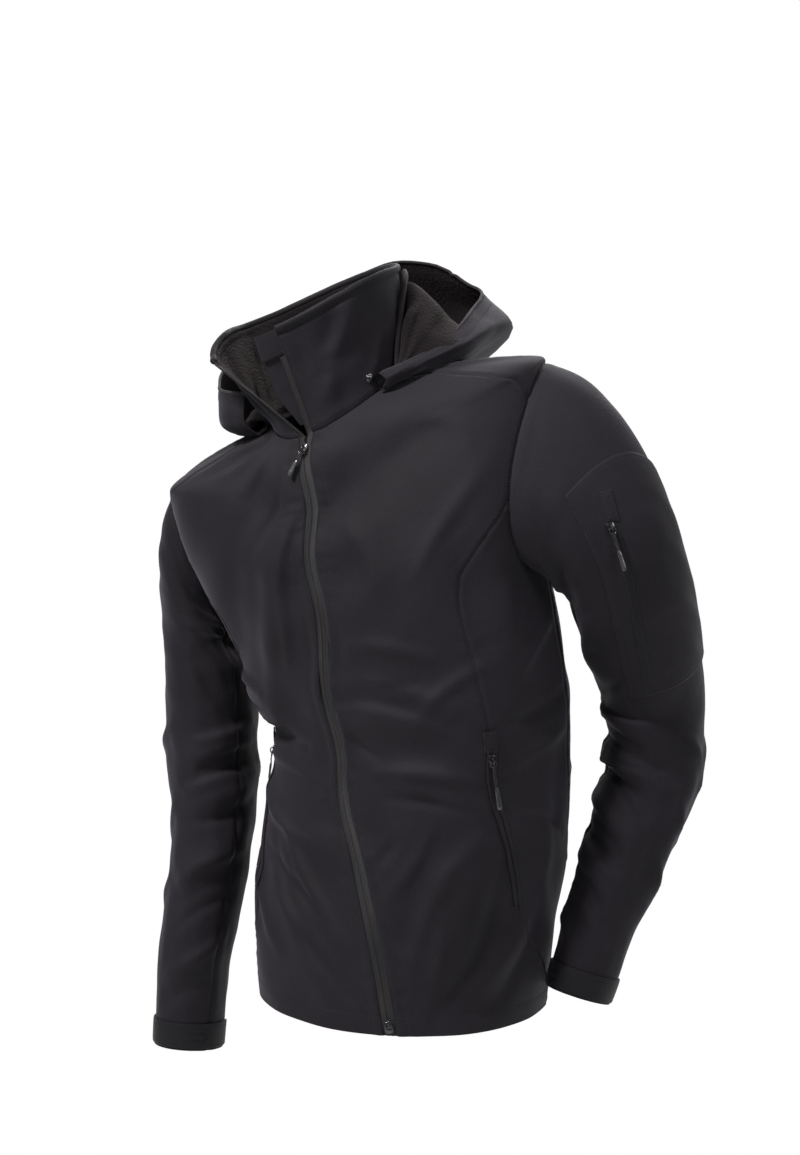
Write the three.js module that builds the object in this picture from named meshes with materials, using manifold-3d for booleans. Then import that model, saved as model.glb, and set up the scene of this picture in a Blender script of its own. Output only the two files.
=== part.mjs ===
// Softshell jacket with a stand collar, a hood that lies back and five zips, as worn.
// Millimetres, +Z up. The front faces -Y and the wearer's left is +X.
// The origin is the middle of the neck seam, where a wearer holds the jacket up.
import * as THREE from 'three';
import Module from 'manifold-3d';
import { mergeVertices } from 'three/addons/utils/BufferGeometryUtils.js';

// Driving dimensions
const WALL = 2.0;
const COLLAR_WALL = 3.0;
const SEAM_GAP = 0.34;
const LAYER_GAP = 0.35;
const PATCH_WALL = 1.2;
const TAPE_WIDTH = 7.0;

// The jacket leans in an upright plane that is turned this far from its front.
const LEAN_HEADING = THREE.MathUtils.degToRad(25);
const ACROSS = new THREE.Vector3(Math.cos(LEAN_HEADING), Math.sin(LEAN_HEADING), 0);
const REARWARD = new THREE.Vector3(-Math.sin(LEAN_HEADING), Math.cos(LEAN_HEADING), 0);
const UP = new THREE.Vector3(0, 0, 1);

const radians = THREE.MathUtils.degToRad;
const lerp = THREE.MathUtils.lerp;
const v3 = (x, y, z) => new THREE.Vector3(x, y, z);

// Tables: one line of column names, then one row per section, seam point or fold.
function table(columns, rows) {
  return rows.map((row) => Object.fromEntries(columns.map((column, i) => [column, row[i]])));
}

// Smooth curve through a table's column that never swings past its rows.
function curve(rows, key, column) {
  const x = rows.map((row) => row[key]);
  const y = rows.map((row) => row[column]);
  const last = x.length - 1;
  const slope = x.slice(1).map((value, i) => (y[i + 1] - y[i]) / (value - x[i]));
  const tangent = x.map((_, i) => {
    if (i === 0) return slope[0];
    if (i === last) return slope[last - 1];
    if (slope[i - 1] * slope[i] <= 0) return 0;
    return 2 * slope[i - 1] * slope[i] / (slope[i - 1] + slope[i]);
  });
  return (at) => {
    let i = 0;
    while (i < last - 1 && at > x[i + 1]) i += 1;
    const span = x[i + 1] - x[i];
    const t = (at - x[i]) / span;
    if (t < 0) return y[0] + tangent[0] * (at - x[0]);
    if (t > 1) return y[last] + tangent[last] * (at - x[last]);
    const u = 1 - t;
    return y[i] * u * u * (1 + 2 * t) + tangent[i] * span * t * u * u
      + y[i + 1] * t * t * (3 - 2 * t) - tangent[i + 1] * span * t * t * u;
  };
}

function curves(rows, key) {
  const names = Object.keys(rows[0]).filter((name) => name !== key && name !== 'name');
  const parts = names.map((name) => [name, curve(rows, key, name)]);
  return (at) => Object.fromEntries(parts.map(([name, part]) => [name, part(at)]));
}

// Body rings from hem to neck seam. across, up and deep place the ring's middle in the
// leaning plane, lean and turn are in degrees, frontSide and sideBack shift its front and
// sides, and the lifts raise its front and back.
const BODY_RINGS = table(
  ['level', 'across', 'up', 'deep', 'lean', 'turn', 'half', 'front', 'back', 'square',
    'frontSide', 'sideBack', 'frontLift', 'backLift'],
  [
    [0.00, 64, -668, 0, -2, -20, 160, 150, 140, 2.3, 0, 0, -12, 0],
    [0.12, 67, -588, 0, -1, -13, 166, 148, 138, 2.3, 0, 0, -8, 0],
    [0.26, 79, -494, 0, 1, 2, 169, 142, 134, 2.3, 0, 0, 0, 0],
    [0.42, 86, -392, 0, 5, 17, 177, 133, 124, 2.3, 0, 0, 0, 0],
    [0.55, 69, -302, 0, 9, 14, 187, 130, 120, 2.4, -10, 0, 0, 0],
    [0.67, 45, -218, 0, 13, 10, 197, 128, 118, 2.5, 3, 0, 0, 0],
    [0.77, 22, -128, 0, 16, 2, 215, 122, 112, 2.7, -15, 8, -28, -14],
    [0.86, 5, -36, 0, 19, -6, 226, 104, 102, 2.7, -33, 17, -70, -26],
    [0.93, 2, -12, 0, 20, -3, 150, 97, 94, 2.3, -30, 12, -48, -8],
    [1.00, 0, 0, 0, 20, 0, 80, 82, 76, 2.0, -20, 0, -26, 8],
  ],
);
const bodyRing = curves(BODY_RINGS, 'level');

// Flat lengths that turn surface parameters into millimetres for the folds.
const BODY_ROUND = 1060;
const BODY_LENGTH = 690;
const SLEEVE_ROUND = 360;
const SLEEVE_LENGTH = 640;

// Folds are ridges (plus) or troughs (minus) between two places on a surface.
// side is the fraction round from the zip, plus to the wearer's left.
const FOLD_COLUMNS = ['name', 'side1', 'level1', 'side2', 'level2', 'height', 'width'];
const BODY_FOLDS = table(FOLD_COLUMNS, [
  ['right chest ridge', -0.040, 0.90, -0.105, 0.53, 7, 20],
  ['right chest trough', -0.092, 0.90, -0.150, 0.62, -4, 18],
  ['right waist bunch', -0.230, 0.565, -0.110, 0.515, 7, 18],
  ['right waist hollow', -0.240, 0.505, -0.100, 0.460, -6, 16],
  ['right hip fold', -0.250, 0.40, -0.130, 0.33, 5, 18],
  ['left waist arch', 0.030, 0.520, 0.165, 0.485, 6, 18],
  ['left waist hollow', 0.040, 0.465, 0.150, 0.435, -5, 17],
  ['left armhole hollow', 0.160, 0.73, 0.190, 0.60, -8, 18],
  ['left armhole ridge', 0.205, 0.68, 0.220, 0.52, 6, 17],
  ['left bust fold', 0.105, 0.72, 0.115, 0.62, -4, 16],
  ['left hip diagonal', 0.165, 0.33, 0.075, 0.10, 5, 20],
  ['left hip hollow', 0.130, 0.38, 0.040, 0.15, -5, 20],
  ['left side fold', 0.250, 0.42, 0.215, 0.20, 5, 17],
  ['front hem fold', -0.120, 0.22, -0.060, 0.03, 5, 20],
  ['right pocket crease', -0.200, 0.40, -0.185, 0.12, 5, 17],
  ['back waist arch left', 0.320, 0.50, 0.450, 0.455, 6, 18],
  ['back waist arch right', 0.690, 0.50, 0.550, 0.470, 7, 18],
  ['back waist hollow', 0.350, 0.435, 0.650, 0.405, -5, 18],
  ['back blade left', 0.350, 0.80, 0.400, 0.64, 5, 20],
  ['back blade right', 0.655, 0.78, 0.600, 0.62, 4, 21],
  ['back hip fold left', 0.340, 0.30, 0.420, 0.10, 5, 19],
  ['back hip fold right', 0.640, 0.34, 0.560, 0.14, 5, 18],
]);

// round is the fraction round the sleeve from its outer side by the front, along runs to the cuff.
const RIGHT_SLEEVE_FOLDS = table(FOLD_COLUMNS, [
  ['elbow fold upper', 0.52, 0.500, 0.22, 0.535, 5, 13],
  ['elbow crease', 0.54, 0.540, 0.24, 0.575, -5, 11],
  ['elbow fold lower', 0.56, 0.580, 0.26, 0.615, 5, 13],
  ['upper arm long fold', 0.30, 0.14, 0.40, 0.42, 5, 15],
  ['upper arm hollow', 0.40, 0.18, 0.48, 0.40, -4, 13],
  ['back arm fold', 0.66, 0.20, 0.80, 0.44, 5, 15],
  ['back elbow fold', 0.68, 0.52, 0.86, 0.60, 4, 14],
  ['forearm fold', 0.48, 0.66, 0.24, 0.74, 4, 14],
  ['forearm crease', 0.46, 0.72, 0.22, 0.80, -3, 12],
  ['wrist fold', 0.50, 0.85, 0.22, 0.89, 3, 12],
]);
const LEFT_SLEEVE_FOLDS = table(FOLD_COLUMNS, [
  ['elbow bend ridge', 0.50, 0.515, 0.16, 0.575, 6, 14],
  ['elbow bend crease', 0.52, 0.560, 0.18, 0.620, -7, 12],
  ['forearm ridge first', 0.50, 0.605, 0.14, 0.668, 6, 13],
  ['forearm crease first', 0.50, 0.650, 0.16, 0.712, -6, 11],
  ['forearm ridge second', 0.48, 0.695, 0.14, 0.760, 6, 13],
  ['forearm crease second', 0.48, 0.742, 0.18, 0.805, -5, 11],
  ['forearm ridge third', 0.46, 0.788, 0.16, 0.850, 5, 12],
  ['wrist crease', 0.44, 0.840, 0.18, 0.892, -4, 11],
  ['front arm long fold', 0.24, 0.10, 0.34, 0.40, 5, 16],
  ['front arm hollow', 0.33, 0.14, 0.43, 0.42, -5, 14],
  ['outer forearm ridge', 0.06, 0.60, 0.00, 0.84, 5, 16],
  ['rear arm fold', 0.68, 0.18, 0.78, 0.44, 5, 14],
  ['rear elbow fold', 0.88, 0.50, 0.72, 0.57, 4, 12],
]);

// Distance along and beside a straight fold, turned into a soft bump with thin ends.
function foldHeight(folds, side, level, around, length, period) {
  let height = 0;
  for (const fold of folds) {
    let offset = side - fold.side1;
    if (period) offset -= Math.round(offset - (fold.side2 - fold.side1) / 2);
    const dx = (fold.side2 - fold.side1) * around;
    const dy = (fold.level2 - fold.level1) * length;
    const px = offset * around;
    const py = (level - fold.level1) * length;
    const size = dx * dx + dy * dy;
    const along = (px * dx + py * dy) / size;
    const capped = THREE.MathUtils.clamp(along, 0, 1);
    const gap = Math.hypot(px - capped * dx, py - capped * dy);
    const taper = 0.35 + 0.65 * Math.sin(Math.PI * THREE.MathUtils.clamp(along, 0.04, 0.96));
    height += fold.height * taper * Math.exp(-((gap / fold.width) ** 2));
  }
  return height;
}

// Turns a point of a level ring into its turned and leaning place.
function settle(point, ring) {
  return point
    .applyAxisAngle(UP, -radians(ring.turn))
    .applyAxisAngle(REARWARD, -radians(ring.lean));
}

function place(across, up, deep) {
  return v3(0, 0, up).addScaledVector(ACROSS, across).addScaledVector(REARWARD, deep);
}

function bodyBase(side, level) {
  const ring = bodyRing(level);
  const angle = 2 * Math.PI * side;
  const sine = Math.sin(angle);
  const cosine = Math.cos(angle);
  const depth = cosine > 0 ? ring.front : ring.back;
  const reach = ((Math.abs(cosine) / depth) ** ring.square
    + (Math.abs(sine) / ring.half) ** ring.square) ** (-1 / ring.square);
  const lift = (cosine > 0 ? ring.frontLift : ring.backLift) * cosine * cosine;
  const stray = cosine > 0 ? ring.frontSide * cosine * cosine : 0;
  const point = v3(reach * sine + stray, -reach * cosine + ring.sideBack * sine * sine, lift);
  return settle(point, ring).add(place(ring.across, ring.up, ring.deep));
}

// Normal of any two-way surface, from its two slopes.
function slopeNormal(surface, a, b, step = 0.002) {
  const da = surface(a + step, b).sub(surface(a - step, b));
  const db = surface(a, b + step).sub(surface(a, b - step));
  return da.cross(db).normalize();
}

const bodySurface = (side, level) => bodyBase(side, level).addScaledVector(
  slopeNormal(bodyBase, side, level),
  foldHeight(BODY_FOLDS, side, level, BODY_ROUND, BODY_LENGTH, true),
);
const bodyNormal = (side, level) => slopeNormal(bodySurface, side, level);
const bodySpan = (side, level) => bodyBase(side + 0.001, level)
  .distanceTo(bodyBase(side - 0.001, level)) / 0.002;

// The armhole is an oval on the body, drawn from the shoulder tip round by the front.
const ARMHOLE = { side: 0.262, halfSide: 0.054, low: 0.668, high: 0.858 };
function armholePlace(round, hand) {
  const angle = 2 * Math.PI * round;
  const middle = (ARMHOLE.low + ARMHOLE.high) / 2;
  const side = ARMHOLE.side - ARMHOLE.halfSide * Math.sin(angle);
  const level = middle + (ARMHOLE.high - middle) * Math.cos(angle);
  return [hand * side, level];
}

// Where seams meet the armhole, as fractions round it, and the steps between them.
const ARMHOLE_STOPS = table(['name', 'round', 'steps'], [
  ['front yoke', 0.130, 3],
  ['princess seam', 0.270, 3],
  ['front sleeve seam', 0.430, 3],
  ['side seam', 0.560, 3],
  ['rear sleeve seam', 0.720, 4],
  ['back yoke', 0.900, 5],
]);
const stop = (name) => ARMHOLE_STOPS.find((row) => row.name === name).round;
const ARMHOLE_ROUNDS = ARMHOLE_STOPS.flatMap((row, i) => {
  const next = i + 1 < ARMHOLE_STOPS.length ? ARMHOLE_STOPS[i + 1].round : 1 + ARMHOLE_STOPS[0].round;
  return Array.from({ length: row.steps }, (_, k) => lerp(row.round, next, k / row.steps));
});
function armholeBetween(from, to) {
  const end = to > from ? to : to + 1;
  const inside = [...ARMHOLE_ROUNDS, ...ARMHOLE_ROUNDS.map((round) => round + 1)];
  return inside.filter((round) => round > from - 1e-6 && round < end - 1e-6).concat([end]);
}

// Sleeve rings from the top of the arm to the cuff, placed as the body rings are.
const SLEEVE_COLUMNS = ['along', 'across', 'up', 'deep', 'half', 'inside', 'thick'];
const SLEEVES = {
  left: {
    hand: 1,
    capReach: 1.45,
    folds: LEFT_SLEEVE_FOLDS,
    rings: table(SLEEVE_COLUMNS, [
      [0.32, 307, -212, -72, 69, 64, 69],
      [0.38, 318, -250, -56, 67, 62, 66],
      [0.54, 342, -352, -20, 55, 55, 58],
      [0.62, 340, -405, -20, 55, 55, 55],
      [0.74, 315, -480, -38, 48, 48, 50],
      [0.87, 285, -562, -52, 41, 41, 44],
      [1.00, 255, -655, -62, 36, 34, 41],
    ]),
  },
  right: {
    hand: -1,
    capReach: 0.55,
    folds: RIGHT_SLEEVE_FOLDS,
    rings: table(SLEEVE_COLUMNS, [
      [0.32, -151, -284, 110, 58, 30, 64],
      [0.38, -150, -320, 108, 59, 43, 62],
      [0.54, -150, -418, 99, 58, 44, 57],
      [0.62, -151, -470, 93, 49, 45, 54],
      [0.76, -161, -560, 82, 43, 43, 50],
      [0.88, -175, -648, 71, 40, 40, 45],
      [1.00, -182, -744, 66, 38, 38, 42],
    ]),
  },
};
const CAP_END = 0.32;
const CAP_LOW_REACH = 0.8;
// How steeply the cap leaves the armhole, and how full its curve is.
const CAP_DROP = 0.75;
const CAP_FULLNESS = 1.1;

function makeSleeve(sleeve) {
  const ringAt = curves(sleeve.rings, 'along');
  const middle = (along) => {
    const ring = ringAt(along);
    return place(ring.across, ring.up, ring.deep);
  };
  const heading = (along) => middle(along + 0.01).sub(middle(along - 0.01)).normalize();
  const tube = (round, along) => {
    const ring = ringAt(along);
    const axis = heading(Math.max(along, CAP_END));
    const outer = v3(sleeve.hand, 0, 0).addScaledVector(axis, -sleeve.hand * axis.x).normalize();
    const forward = v3(0, -1, 0);
    forward.addScaledVector(axis, -forward.dot(axis)).addScaledVector(outer, -forward.dot(outer));
    const angle = 2 * Math.PI * round;
    return middle(along)
      .addScaledVector(outer, (Math.cos(angle) > 0 ? ring.half : ring.inside) * Math.cos(angle))
      .addScaledVector(forward.normalize(), ring.thick * Math.sin(angle));
  };
  const tip = settle(v3(sleeve.hand, 0, 0), bodyRing(ARMHOLE.high));
  // The cap runs from the armhole to the first ring on a curve that leaves along the shoulder.
  const cap = (round, along) => {
    const [side, level] = armholePlace(round, sleeve.hand);
    const start = bodySurface(side, level);
    const end = tube(round, CAP_END);
    const length = start.distanceTo(end);
    const top = (1 + Math.cos(2 * Math.PI * round)) / 2;
    const reach = lerp(CAP_LOW_REACH, sleeve.capReach, top);
    const leave = tip.clone().multiplyScalar(reach).addScaledVector(UP, -CAP_DROP)
      .normalize().multiplyScalar(length * CAP_FULLNESS);
    const arrive = heading(CAP_END).multiplyScalar(length);
    const t = along / CAP_END;
    const s = 1 - t;
    return start.multiplyScalar(s * s * (1 + 2 * t)).addScaledVector(leave, t * s * s)
      .addScaledVector(end, t * t * (3 - 2 * t)).addScaledVector(arrive, -t * t * s);
  };
  const base = (round, along) => (along < CAP_END ? cap(round, along) : tube(round, along));
  const out = (surface, round, along) => {
    const spin = surface(round + 0.004, along).sub(surface(round - 0.004, along));
    const low = Math.max(along - 0.004, 0);
    const run = surface(round, low + 0.008).sub(surface(round, low));
    return spin.cross(run).multiplyScalar(sleeve.hand).normalize();
  };
  const surface = (round, along) => {
    const fade = THREE.MathUtils.smoothstep(along, 0, 0.06);
    const height = foldHeight(sleeve.folds, round, along, SLEEVE_ROUND, SLEEVE_LENGTH, true);
    return base(round, along).addScaledVector(out(base, round, along), fade * height);
  };
  const normal = (round, along) => {
    const own = out(surface, round, along);
    if (along > 1e-6) return own;
    const [side, level] = armholePlace(round, sleeve.hand);
    return own.add(bodyNormal(side, level)).normalize();
  };
  return { surface, normal, hand: sleeve.hand };
}
const sleeveLeft = makeSleeve(SLEEVES.left);
const sleeveRight = makeSleeve(SLEEVES.right);

// Normal for body panels. Where a place lies on an armhole it is the sleeve's, so that the
// two panels share one mitred edge.
function panelNormal(side, level) {
  const turned = side - Math.round(side);
  const across = (ARMHOLE.side - Math.abs(turned)) / ARMHOLE.halfSide;
  const height = (2 * level - ARMHOLE.low - ARMHOLE.high) / (ARMHOLE.high - ARMHOLE.low);
  if (Math.abs(Math.hypot(across, height) - 1) > 1e-6) return bodyNormal(side, level);
  const sleeve = turned > 0 ? sleeveLeft : sleeveRight;
  return sleeve.normal(Math.atan2(across, height) / (2 * Math.PI), 0);
}

// Closed wall between an outer grid of points and the same grid set in by its thickness.
// outer[i][j] and inner[i][j] hold the points; the rows and columns must run so that
// column step cross row step points out.
function wallMesh(outer, inner, flip) {
  const rows = outer.length;
  const cols = outer[0].length;
  const positions = [];
  for (const grid of [outer, inner]) {
    for (const row of grid) for (const point of row) positions.push(point.x, point.y, point.z);
  }
  const at = (layer, i, j) => layer * rows * cols + i * cols + j;
  const index = [];
  const quad = (a, b, c, d) => {
    if (flip) index.push(a, c, b, a, d, c);
    else index.push(a, b, c, a, c, d);
  };
  for (let i = 0; i < rows - 1; i += 1) {
    for (let j = 0; j < cols - 1; j += 1) {
      quad(at(0, i, j), at(0, i, j + 1), at(0, i + 1, j + 1), at(0, i + 1, j));
      quad(at(1, i, j), at(1, i + 1, j), at(1, i + 1, j + 1), at(1, i, j + 1));
    }
  }
  for (let j = 0; j < cols - 1; j += 1) {
    quad(at(0, 0, j), at(1, 0, j), at(1, 0, j + 1), at(0, 0, j + 1));
    quad(at(0, rows - 1, j), at(0, rows - 1, j + 1), at(1, rows - 1, j + 1), at(1, rows - 1, j));
  }
  for (let i = 0; i < rows - 1; i += 1) {
    quad(at(0, i, 0), at(0, i + 1, 0), at(1, i + 1, 0), at(1, i, 0));
    quad(at(0, i, cols - 1), at(1, i, cols - 1), at(1, i + 1, cols - 1), at(0, i + 1, cols - 1));
  }
  const geometry = new THREE.BufferGeometry();
  geometry.setAttribute('position', new THREE.Float32BufferAttribute(positions, 3));
  geometry.setIndex(index);
  geometry.computeVertexNormals();
  return geometry;
}

// Pulls a panel's edges in so that it stands half a seam gap inside its outline.
function trim(grid, gap = SEAM_GAP / 2) {
  const rows = grid.length;
  const cols = grid[0].length;
  const moved = grid.map((row) => row.map((point) => point.clone()));
  const pull = (i, j, towardI, towardJ) => {
    const way = grid[towardI][towardJ].clone().sub(grid[i][j]);
    moved[i][j].addScaledVector(way.normalize(), gap);
  };
  for (let i = 0; i < rows; i += 1) {
    pull(i, 0, i, 1);
    pull(i, cols - 1, i, cols - 2);
  }
  for (let j = 0; j < cols; j += 1) {
    pull(0, j, 1, j);
    pull(rows - 1, j, rows - 2, j);
  }
  return moved;
}

// A panel from a grid of surface places. raise lifts it off the surface it lies on.
function panel(places, surface, normal, options = {}) {
  const { wall = WALL, raise = 0, flip = false, gap = SEAM_GAP / 2 } = options;
  const outer = [];
  const inner = [];
  for (const row of places) {
    const points = row.map(([a, b]) => surface(a, b));
    const ways = row.map(([a, b]) => normal(a, b));
    outer.push(points.map((point, j) => point.clone().addScaledVector(ways[j], raise)));
    inner.push(points.map((point, j) => point.clone().addScaledVector(ways[j], raise - wall)));
  }
  return wallMesh(trim(outer, gap), trim(inner, gap), flip);
}

// Fills the inside of a four-sided patch from its four edges, all as surface places.
// bottom and top run the same way, and so do left and right, from bottom to top.
function patch(bottom, top, left, right) {
  const rows = left.length - 1;
  const cols = bottom.length - 1;
  return left.map((_, i) => bottom.map((__, j) => {
    const v = i / rows;
    const u = j / cols;
    return [0, 1].map((k) => (1 - v) * bottom[j][k] + v * top[j][k]
      + (1 - u) * left[i][k] + u * right[i][k]
      - (1 - u) * (1 - v) * bottom[0][k] - u * (1 - v) * bottom[cols][k]
      - (1 - u) * v * top[0][k] - u * v * top[cols][k]);
  }));
}

// Evenly divided run between two places, or through a row of places.
function run(places, steps) {
  const total = places.slice(1).map((place2, i) => Math.hypot(
    (place2[0] - places[i][0]) * BODY_ROUND, (place2[1] - places[i][1]) * BODY_LENGTH,
  ));
  const whole = total.reduce((sum, length) => sum + length, 0);
  return Array.from({ length: steps + 1 }, (_, k) => {
    let left = whole * k / steps;
    let i = 0;
    while (i < total.length - 1 && left > total[i]) {
      left -= total[i];
      i += 1;
    }
    const t = Math.min(left / total[i], 1);
    return [0, 1].map((m) => lerp(places[i][m], places[i + 1][m], t));
  });
}

// Body seams. side runs from the zip towards the side seam.
const PRINCESS = table(['level', 'side'], [
  [0.00, 0.236], [0.05, 0.228], [0.09, 0.203], [0.12, 0.184], [0.18, 0.171],
  [0.30, 0.179], [0.44, 0.184], [0.56, 0.176], [0.66, 0.168], [0.72, 0.178], [0.76, 0.208],
]);
const princessSide = curve(PRINCESS, 'level', 'side');
const SIDE_SEAM = curve(table(['level', 'side'], [
  [0, 0.285], [0.20, 0.292], [0.42, 0.296], [0.60, 0.286],
]), 'level', 'side');
const NECK_SIDES = { zip: 0.016, frontYoke: 0.215, backYoke: 0.335 };
// The zip edge keeps a tape's width from the middle, then opens above the slider.
const ZIP_OPENS = 0.98;
function zipSide(level) {
  const closed = TAPE_WIDTH / bodySpan(0, Math.min(level, ZIP_OPENS));
  return level < ZIP_OPENS ? closed
    : lerp(closed, NECK_SIDES.zip, (level - ZIP_OPENS) / (1 - ZIP_OPENS));
}
const PRINCESS_STEPS = 24;
const mirror = (places, hand) => places.map(([side, level]) => [hand * side, level]);

const princessTop = armholePlace(stop('princess seam'), 1);
const princessEdge = Array.from({ length: PRINCESS_STEPS + 1 }, (_, i) => {
  const level = princessTop[1] * i / PRINCESS_STEPS;
  const reach = THREE.MathUtils.smoothstep(level, 0.70, princessTop[1]);
  return [lerp(princessSide(level), princessTop[0], reach), level];
});
const armholeEdge = (from, to) => armholeBetween(from, to).map((round) => armholePlace(round, 1));
const sideTop = armholePlace(stop('side seam'), 1);
const sideEdge = Array.from({ length: PRINCESS_STEPS + 1 }, (_, i) => {
  const level = sideTop[1] * i / PRINCESS_STEPS;
  return [lerp(SIDE_SEAM(level), sideTop[0], THREE.MathUtils.smoothstep(level, 0.45, sideTop[1])), level];
});
const YOKE_STEPS = 6;
const frontYokeEdge = run([
  [NECK_SIDES.frontYoke, 1], [0.202, 0.930], [0.200, 0.880],
  armholePlace(stop('front yoke'), 1),
], YOKE_STEPS);
const backYokeEdge = run([
  [NECK_SIDES.backYoke, 1], armholePlace(stop('back yoke'), 1),
], YOKE_STEPS);
const yokeArc = armholeEdge(stop('back yoke'), stop('front yoke')).reverse();
const neckYoke = run([[NECK_SIDES.frontYoke, 1], [NECK_SIDES.backYoke, 1]], yokeArc.length - 1);

const BLACK_SHELL = { color: 0x1b1a1d, roughness: 0.72, metalness: 0 };
const ZIP_TAPE = { color: 0x26262a, roughness: 0.85, metalness: 0 };
const DARK_METAL = { color: 0x5c5c60, roughness: 0.35, metalness: 0.9 };
const GREY_TIP = { color: 0x55555a, roughness: 0.3, metalness: 0.1 };
const jacket = new THREE.Group();

function add(name, geometry, look) {
  const mesh = new THREE.Mesh(geometry, new THREE.MeshStandardMaterial(look));
  mesh.name = name;
  jacket.add(mesh);
  return mesh;
}

// Front panels run from the zip to the princess seam, armhole and yoke, the side panels
// from the princess seam to the side seam, and the back from one side seam to the other.
const FRONT_COLUMNS = 10;
const BACK_COLUMNS = 16;
const frontArc = armholeEdge(stop('front yoke'), stop('princess seam')).reverse();
const frontOuterEdge = [
  ...princessEdge, ...frontArc.slice(1), ...frontYokeEdge.slice(0, -1).reverse(),
];
const zipLevels = frontOuterEdge.map((_, i) => {
  const above = frontOuterEdge.length - 1 - PRINCESS_STEPS;
  const reach = (i - PRINCESS_STEPS) / above;
  return i <= PRINCESS_STEPS ? princessEdge[i][1] : lerp(princessTop[1], 1, reach);
});
const frontPlaces = patch(
  run([[zipSide(0), 0], princessEdge[0]], FRONT_COLUMNS),
  run([[NECK_SIDES.zip, 1], [NECK_SIDES.frontYoke, 1]], FRONT_COLUMNS),
  zipLevels.map((level) => [zipSide(level), level]),
  frontOuterEdge,
);
const sideArc = armholeEdge(stop('princess seam'), stop('side seam'));
const sidePlaces = patch(
  run([princessEdge[0], sideEdge[0]], sideArc.length - 1), sideArc, princessEdge, sideEdge,
);
const backOuterEdge = [
  ...sideEdge, ...armholeEdge(stop('side seam'), stop('back yoke')).slice(1),
  ...backYokeEdge.slice(0, -1).reverse(),
];
const acrossBack = (places) => places.map(([side, level]) => [1 - side, level]);
const backPlaces = patch(
  run([backOuterEdge[0], acrossBack(backOuterEdge)[0]], BACK_COLUMNS),
  run([[NECK_SIDES.backYoke, 1], [1 - NECK_SIDES.backYoke, 1]], BACK_COLUMNS),
  backOuterEdge, acrossBack(backOuterEdge),
);
const handed = (places, hand) => places.map((row) => mirror(row, hand));
const bodyPanel = (places, hand) => panel(
  handed(places, hand), bodySurface, panelNormal, { flip: hand < 0 },
);

function yoke(hand) {
  const places = patch(neckYoke, yokeArc, frontYokeEdge, backYokeEdge)
    .map((row) => mirror(row, hand));
  return panel(places, bodySurface, panelNormal, { flip: hand > 0 });
}

for (const [name, hand] of [['left', 1], ['right', -1]]) {
  add(`front_centre_${name}`, bodyPanel(frontPlaces, hand), BLACK_SHELL);
  add(`front_side_${name}`, bodyPanel(sidePlaces, hand), BLACK_SHELL);
  add(`yoke_${name}`, yoke(hand), BLACK_SHELL);
}
add('back', bodyPanel(backPlaces, 1), BLACK_SHELL);

// Sleeves in two panels, split by a seam in front and one behind.
const SLEEVE_STEPS = [0, 0.03, 0.07, 0.12, 0.17, 0.22, 0.28, 0.34, 0.40, 0.455, 0.50,
  0.53, 0.56, 0.588, 0.615, 0.642, 0.668, 0.694, 0.72, 0.746, 0.772, 0.80, 0.83, 0.865,
  0.91, 0.955, 1];
function sleevePanel(sleeve, from, to) {
  const rounds = armholeBetween(from, to);
  const places = SLEEVE_STEPS.map((along) => rounds.map((round) => [round, along]));
  return panel(places, sleeve.surface, sleeve.normal, { flip: sleeve.hand < 0 });
}
for (const [name, sleeve] of [['left', sleeveLeft], ['right', sleeveRight]]) {
  add(`sleeve_top_${name}`,
    sleevePanel(sleeve, stop('rear sleeve seam'), stop('front sleeve seam')), BLACK_SHELL);
  add(`sleeve_under_${name}`,
    sleevePanel(sleeve, stop('front sleeve seam'), stop('rear sleeve seam')), BLACK_SHELL);
}

// Neck frame: how the neck ring is turned and leans, for the collar and the hood.
const NECK_RING = bodyRing(1);
const neckUp = settle(v3(0, 0, 1), NECK_RING);
const neckOut = (side) => settle(
  v3(Math.sin(2 * Math.PI * side), -Math.cos(2 * Math.PI * side), 0), NECK_RING,
);

// The collar stands inside the neck edge. lean is how far its top edge stands out, height how
// high, and slide how far the top moves round the neck, plus against the wearer's right.
const COLLAR = curves(table(['side', 'lean', 'height', 'slide'], [
  [0.016, 5, 121, 2], [0.100, 14, 118, 0], [0.250, 24, 112, 0], [0.380, 26, 114, 0],
  [0.500, 24, 112, 0], [0.620, 26, 110, 0], [0.750, 26, 112, -8], [0.870, 24, 113, -34],
  [0.984, 4, 112, -72],
]), 'side');
const COLLAR_INSET = 1.9;
function collarSurface(side, rise) {
  const row = COLLAR(side);
  const out = neckOut(side);
  const round = neckUp.clone().cross(out);
  return bodySurface(side, 1)
    .addScaledVector(out, row.lean * Math.max(rise, 0) ** 1.3 - COLLAR_INSET)
    .addScaledVector(neckUp, row.height * rise - WALL)
    .addScaledVector(round, row.slide * rise);
}
const collarNormal = (side, rise) => slopeNormal(collarSurface, side, rise);
const COLLAR_COLUMNS = 24;
const COLLAR_ROWS = 5;
const NECK_LEFT = NECK_SIDES.zip;
const NECK_RIGHT = 1 - NECK_SIDES.zip;
const gridOf = (rows, cols, cell) => Array.from({ length: rows + 1 }, (_, i) => (
  Array.from({ length: cols + 1 }, (__, j) => cell(i / rows, j / cols))));
add('collar', panel(
  gridOf(COLLAR_ROWS, COLLAR_COLUMNS, (v, u) => [lerp(NECK_LEFT, NECK_RIGHT, u), v]),
  collarSurface, collarNormal, { wall: COLLAR_WALL },
), BLACK_SHELL);

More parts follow.
